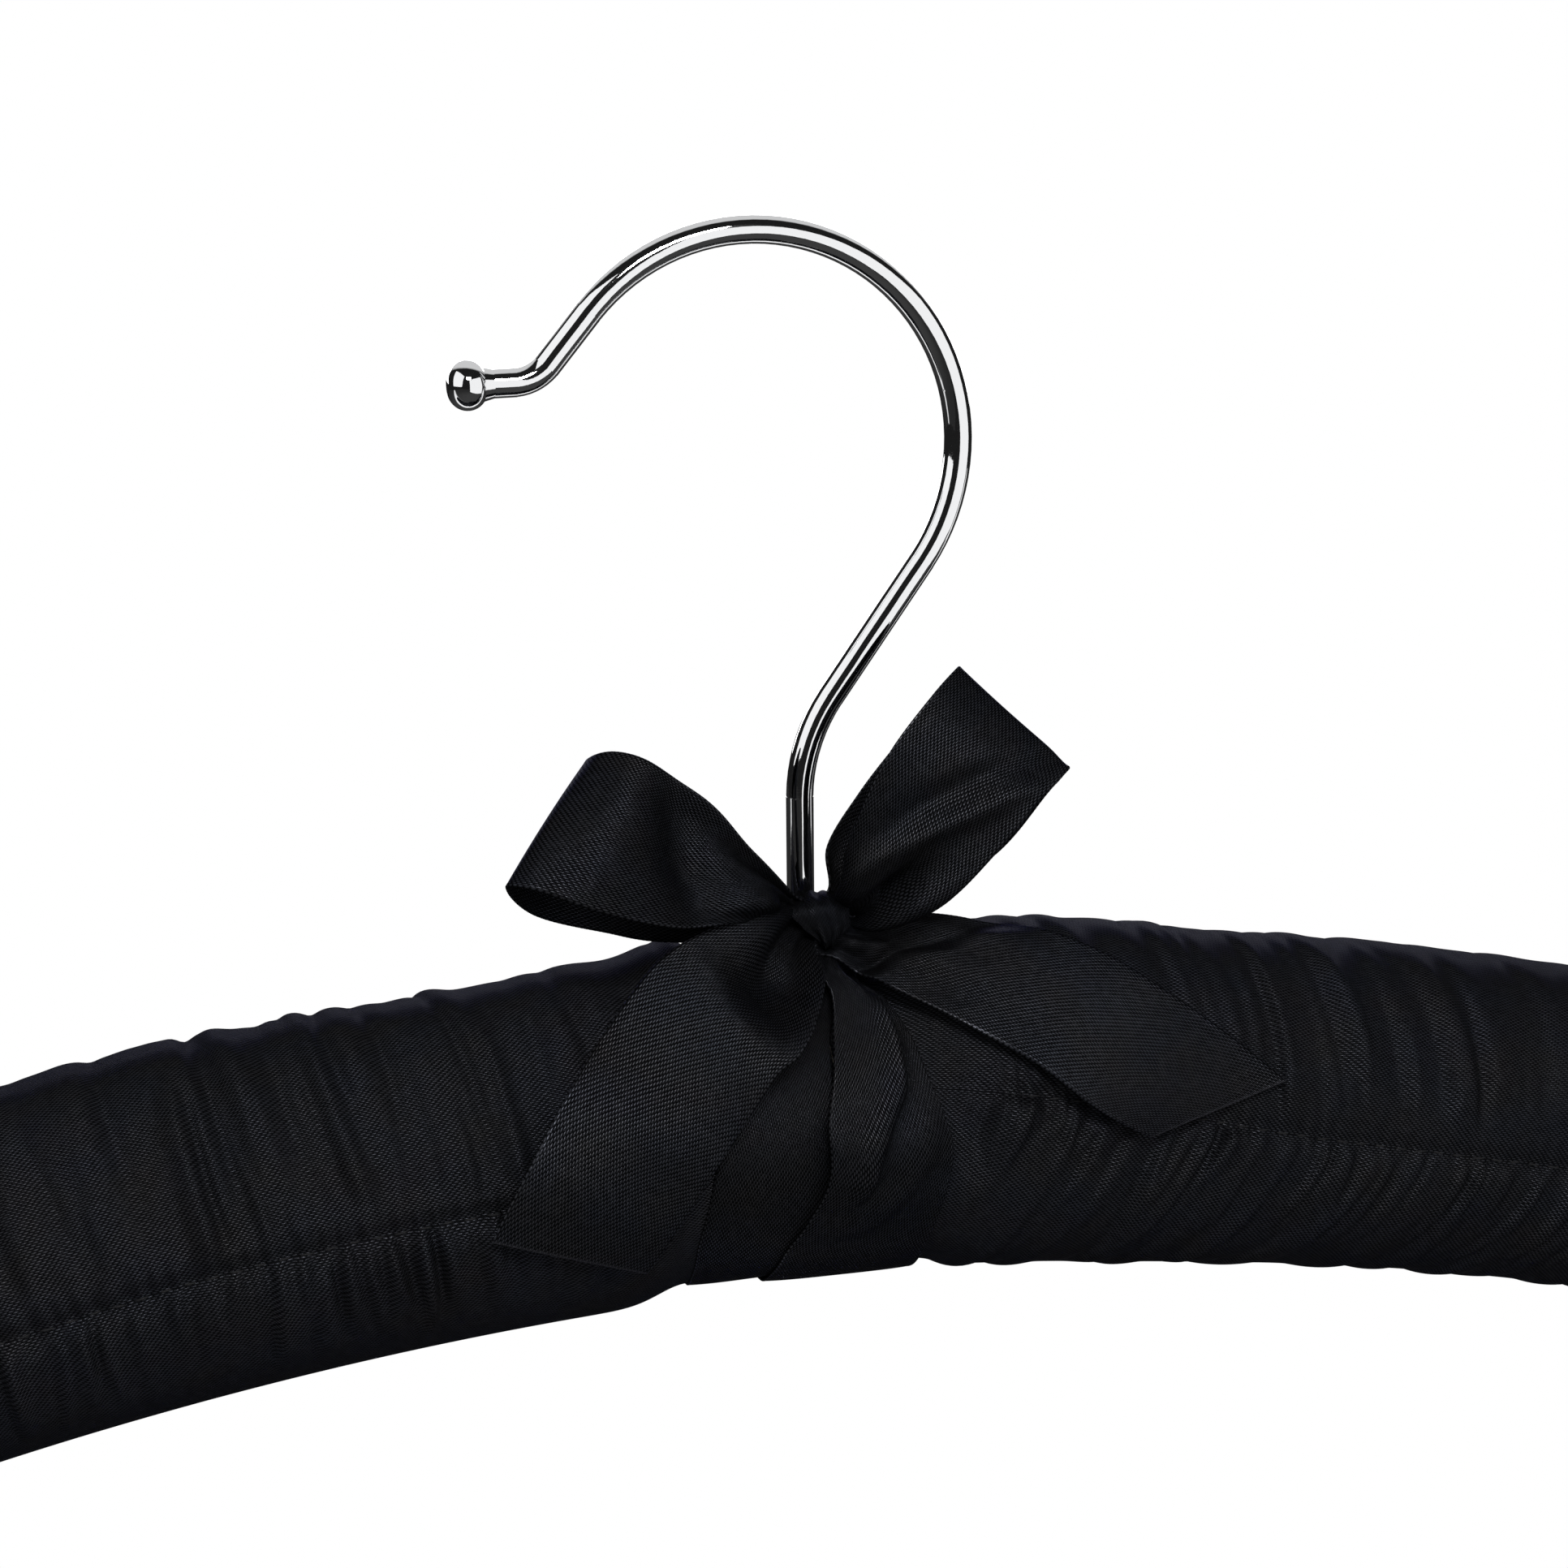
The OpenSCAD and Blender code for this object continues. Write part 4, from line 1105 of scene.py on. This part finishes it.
class HANGER_OT_core(bpy.types.Operator):
    """Finishes the wooden bar and makes the two foam sleeves round it"""

    bl_idname = "hanger.core"
    bl_label = "Bar and Foam"

    def execute(self, context):
        finish_node("wood_core", beech("Beech"))
        padding = foam("Padding Foam")
        weld, soft_edge = 0.00001, math.radians(40)
        for hand in ("left", "right"):
            deselect_all()
            sleeve = twin(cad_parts[f"foam_{hand}"])
            for key in list(sleeve.keys()):
                del sleeve[key]
            sleeve.parent = None
            sleeve.name = f"foam_sleeve_{hand}"
            sleeve.select_set(True)
            context.view_layer.objects.active = sleeve
            bpy.ops.object.mode_set(mode="EDIT")
            bpy.ops.mesh.select_all(action="SELECT")
            bpy.ops.mesh.remove_doubles(threshold=weld)
            bpy.ops.object.mode_set(mode="OBJECT")
            bpy.ops.object.shade_smooth_by_angle(angle=soft_edge)
            settle(sleeve, padding, [f"foam_{hand}"])
        return {"FINISHED"}


class HANGER_OT_covers(bpy.types.Operator):
    """Makes the two gathered covers and the stitches of their front seams"""

    bl_idname = "hanger.covers"
    bl_label = "Covers"

    def execute(self, context):
        look = context.scene.hanger_cover
        arm = Arm(context.scene.hanger_sizes)
        cloth = satin(
            "Cover Satin", look.colour, thread=0.27, gap_shade_and_glint=(0.4, 3.0), roughness=0.30,
            metallic=0.66)
        for hand, word in ((-1, "left"), (1, "right")):
            cover, radius = make_cover(arm, look, hand, f"gathered_cover_{word}")
            settle(cover, cloth, [f"cover_{word}"])
            row = make_stitches(arm, look, hand, radius, f"seam_stitches_{word}")
            settle(row, sewing_thread(f"Thread {word}"))
        return {"FINISHED"}


class HANGER_OT_bands(bpy.types.Operator):
    """Winds the two turns of ribbon round the middle of the hanger"""

    bl_idname = "hanger.bands"
    bl_label = "Ribbon Turns"

    def execute(self, context):
        look = context.scene.hanger_ribbon
        arm = Arm(context.scene.hanger_sizes)
        cloth = ribbon_satin(look)
        for word, table, radius, rise, panels, seed in (
            ("left", INNER_TURN, look.inner_turn / MM, 0.8, [], 3),
            ("right", OUTER_TURN, look.outer_turn / MM, 0.65, OUTER_PANELS, 8),
        ):
            turn, length = make_turn(
                arm, look, f"ribbon_turn_{word}", table, radius, rise, panels, seed)
            settle(turn, cloth, [f"band_{word}"])
        return {"FINISHED"}


class HANGER_OT_bow(bpy.types.Operator):
    """Ties the bow: knot, two loops and two tails"""

    bl_idname = "hanger.bow"
    bl_label = "Bow"

    def execute(self, context):
        look = context.scene.hanger_ribbon
        arm = Arm(context.scene.hanger_sizes)
        low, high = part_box("bow_knot")
        knot = np.array((low + high) / 2) / MM
        cloth = ribbon_satin(look)
        thickness = look.thickness / MM
        wrap, length = make_knot(look, knot, "knot_wrap")
        settle(wrap, cloth, ["bow_knot"])
        strips = (
            ("loop_left", loop_stations(knot, -1, LEFT_LOOP), 0.4, LEFT_LOOP_DENTS, False),
            ("loop_right", loop_stations(knot, 1, RIGHT_LOOP), 1.2, RIGHT_LOOP_DENTS, False),
            ("tail_left", tail_stations(arm, knot, LEFT_ROOTS, LEFT_TAIL), 2.1,
             LEFT_TAIL_DENTS, True),
            ("tail_right", tail_stations(arm, knot, RIGHT_ROOTS, RIGHT_TAIL), 0.0,
             RIGHT_TAIL_DENTS, True),
        )
        for part, stations, phase, dents, cut in strips:
            strip = Strip(stations)
            piece = strip.piece(f"ribbon_{part}", phase, dents, thickness, cut)
            settle(piece, cloth, [f"bow_{part}"])
        return {"FINISHED"}


class HANGER_PT_panel(bpy.types.Panel):
    """Lists the steps that dress the hanger"""

    bl_idname = "HANGER_PT_panel"
    bl_label = "Padded Hanger"
    bl_space_type = "VIEW_3D"
    bl_region_type = "UI"
    bl_category = "Hanger"

    def draw(self, context):
        column = self.layout.column(align=True)
        for step in STEPS:
            column.operator(step.bl_idname)


STEPS = (
    HANGER_OT_stage, HANGER_OT_hook, HANGER_OT_core, HANGER_OT_covers, HANGER_OT_bands,
    HANGER_OT_bow)
SETTINGS = {
    "hanger_sizes": HangerSizes, "hanger_cover": HangerCover, "hanger_ribbon": HangerRibbon,
    "hanger_metal": HangerMetal, "hanger_stage": HangerStage}
CLASSES = (*SETTINGS.values(), *STEPS, HANGER_PT_panel)


def register():
    for each in CLASSES:
        bpy.utils.register_class(each)
    for name, group in SETTINGS.items():
        setattr(bpy.types.Scene, name, PointerProperty(type=group))


def unregister():
    for name in SETTINGS:
        delattr(bpy.types.Scene, name)
    for each in reversed(CLASSES):
        bpy.utils.unregister_class(each)


def main():
    register()
    bpy.ops.hanger.stage()
    bpy.ops.hanger.hook()
    bpy.ops.hanger.core()
    bpy.ops.hanger.covers()
    bpy.ops.hanger.bands()
    bpy.ops.hanger.bow()


if __name__ == "__main__":
    main()
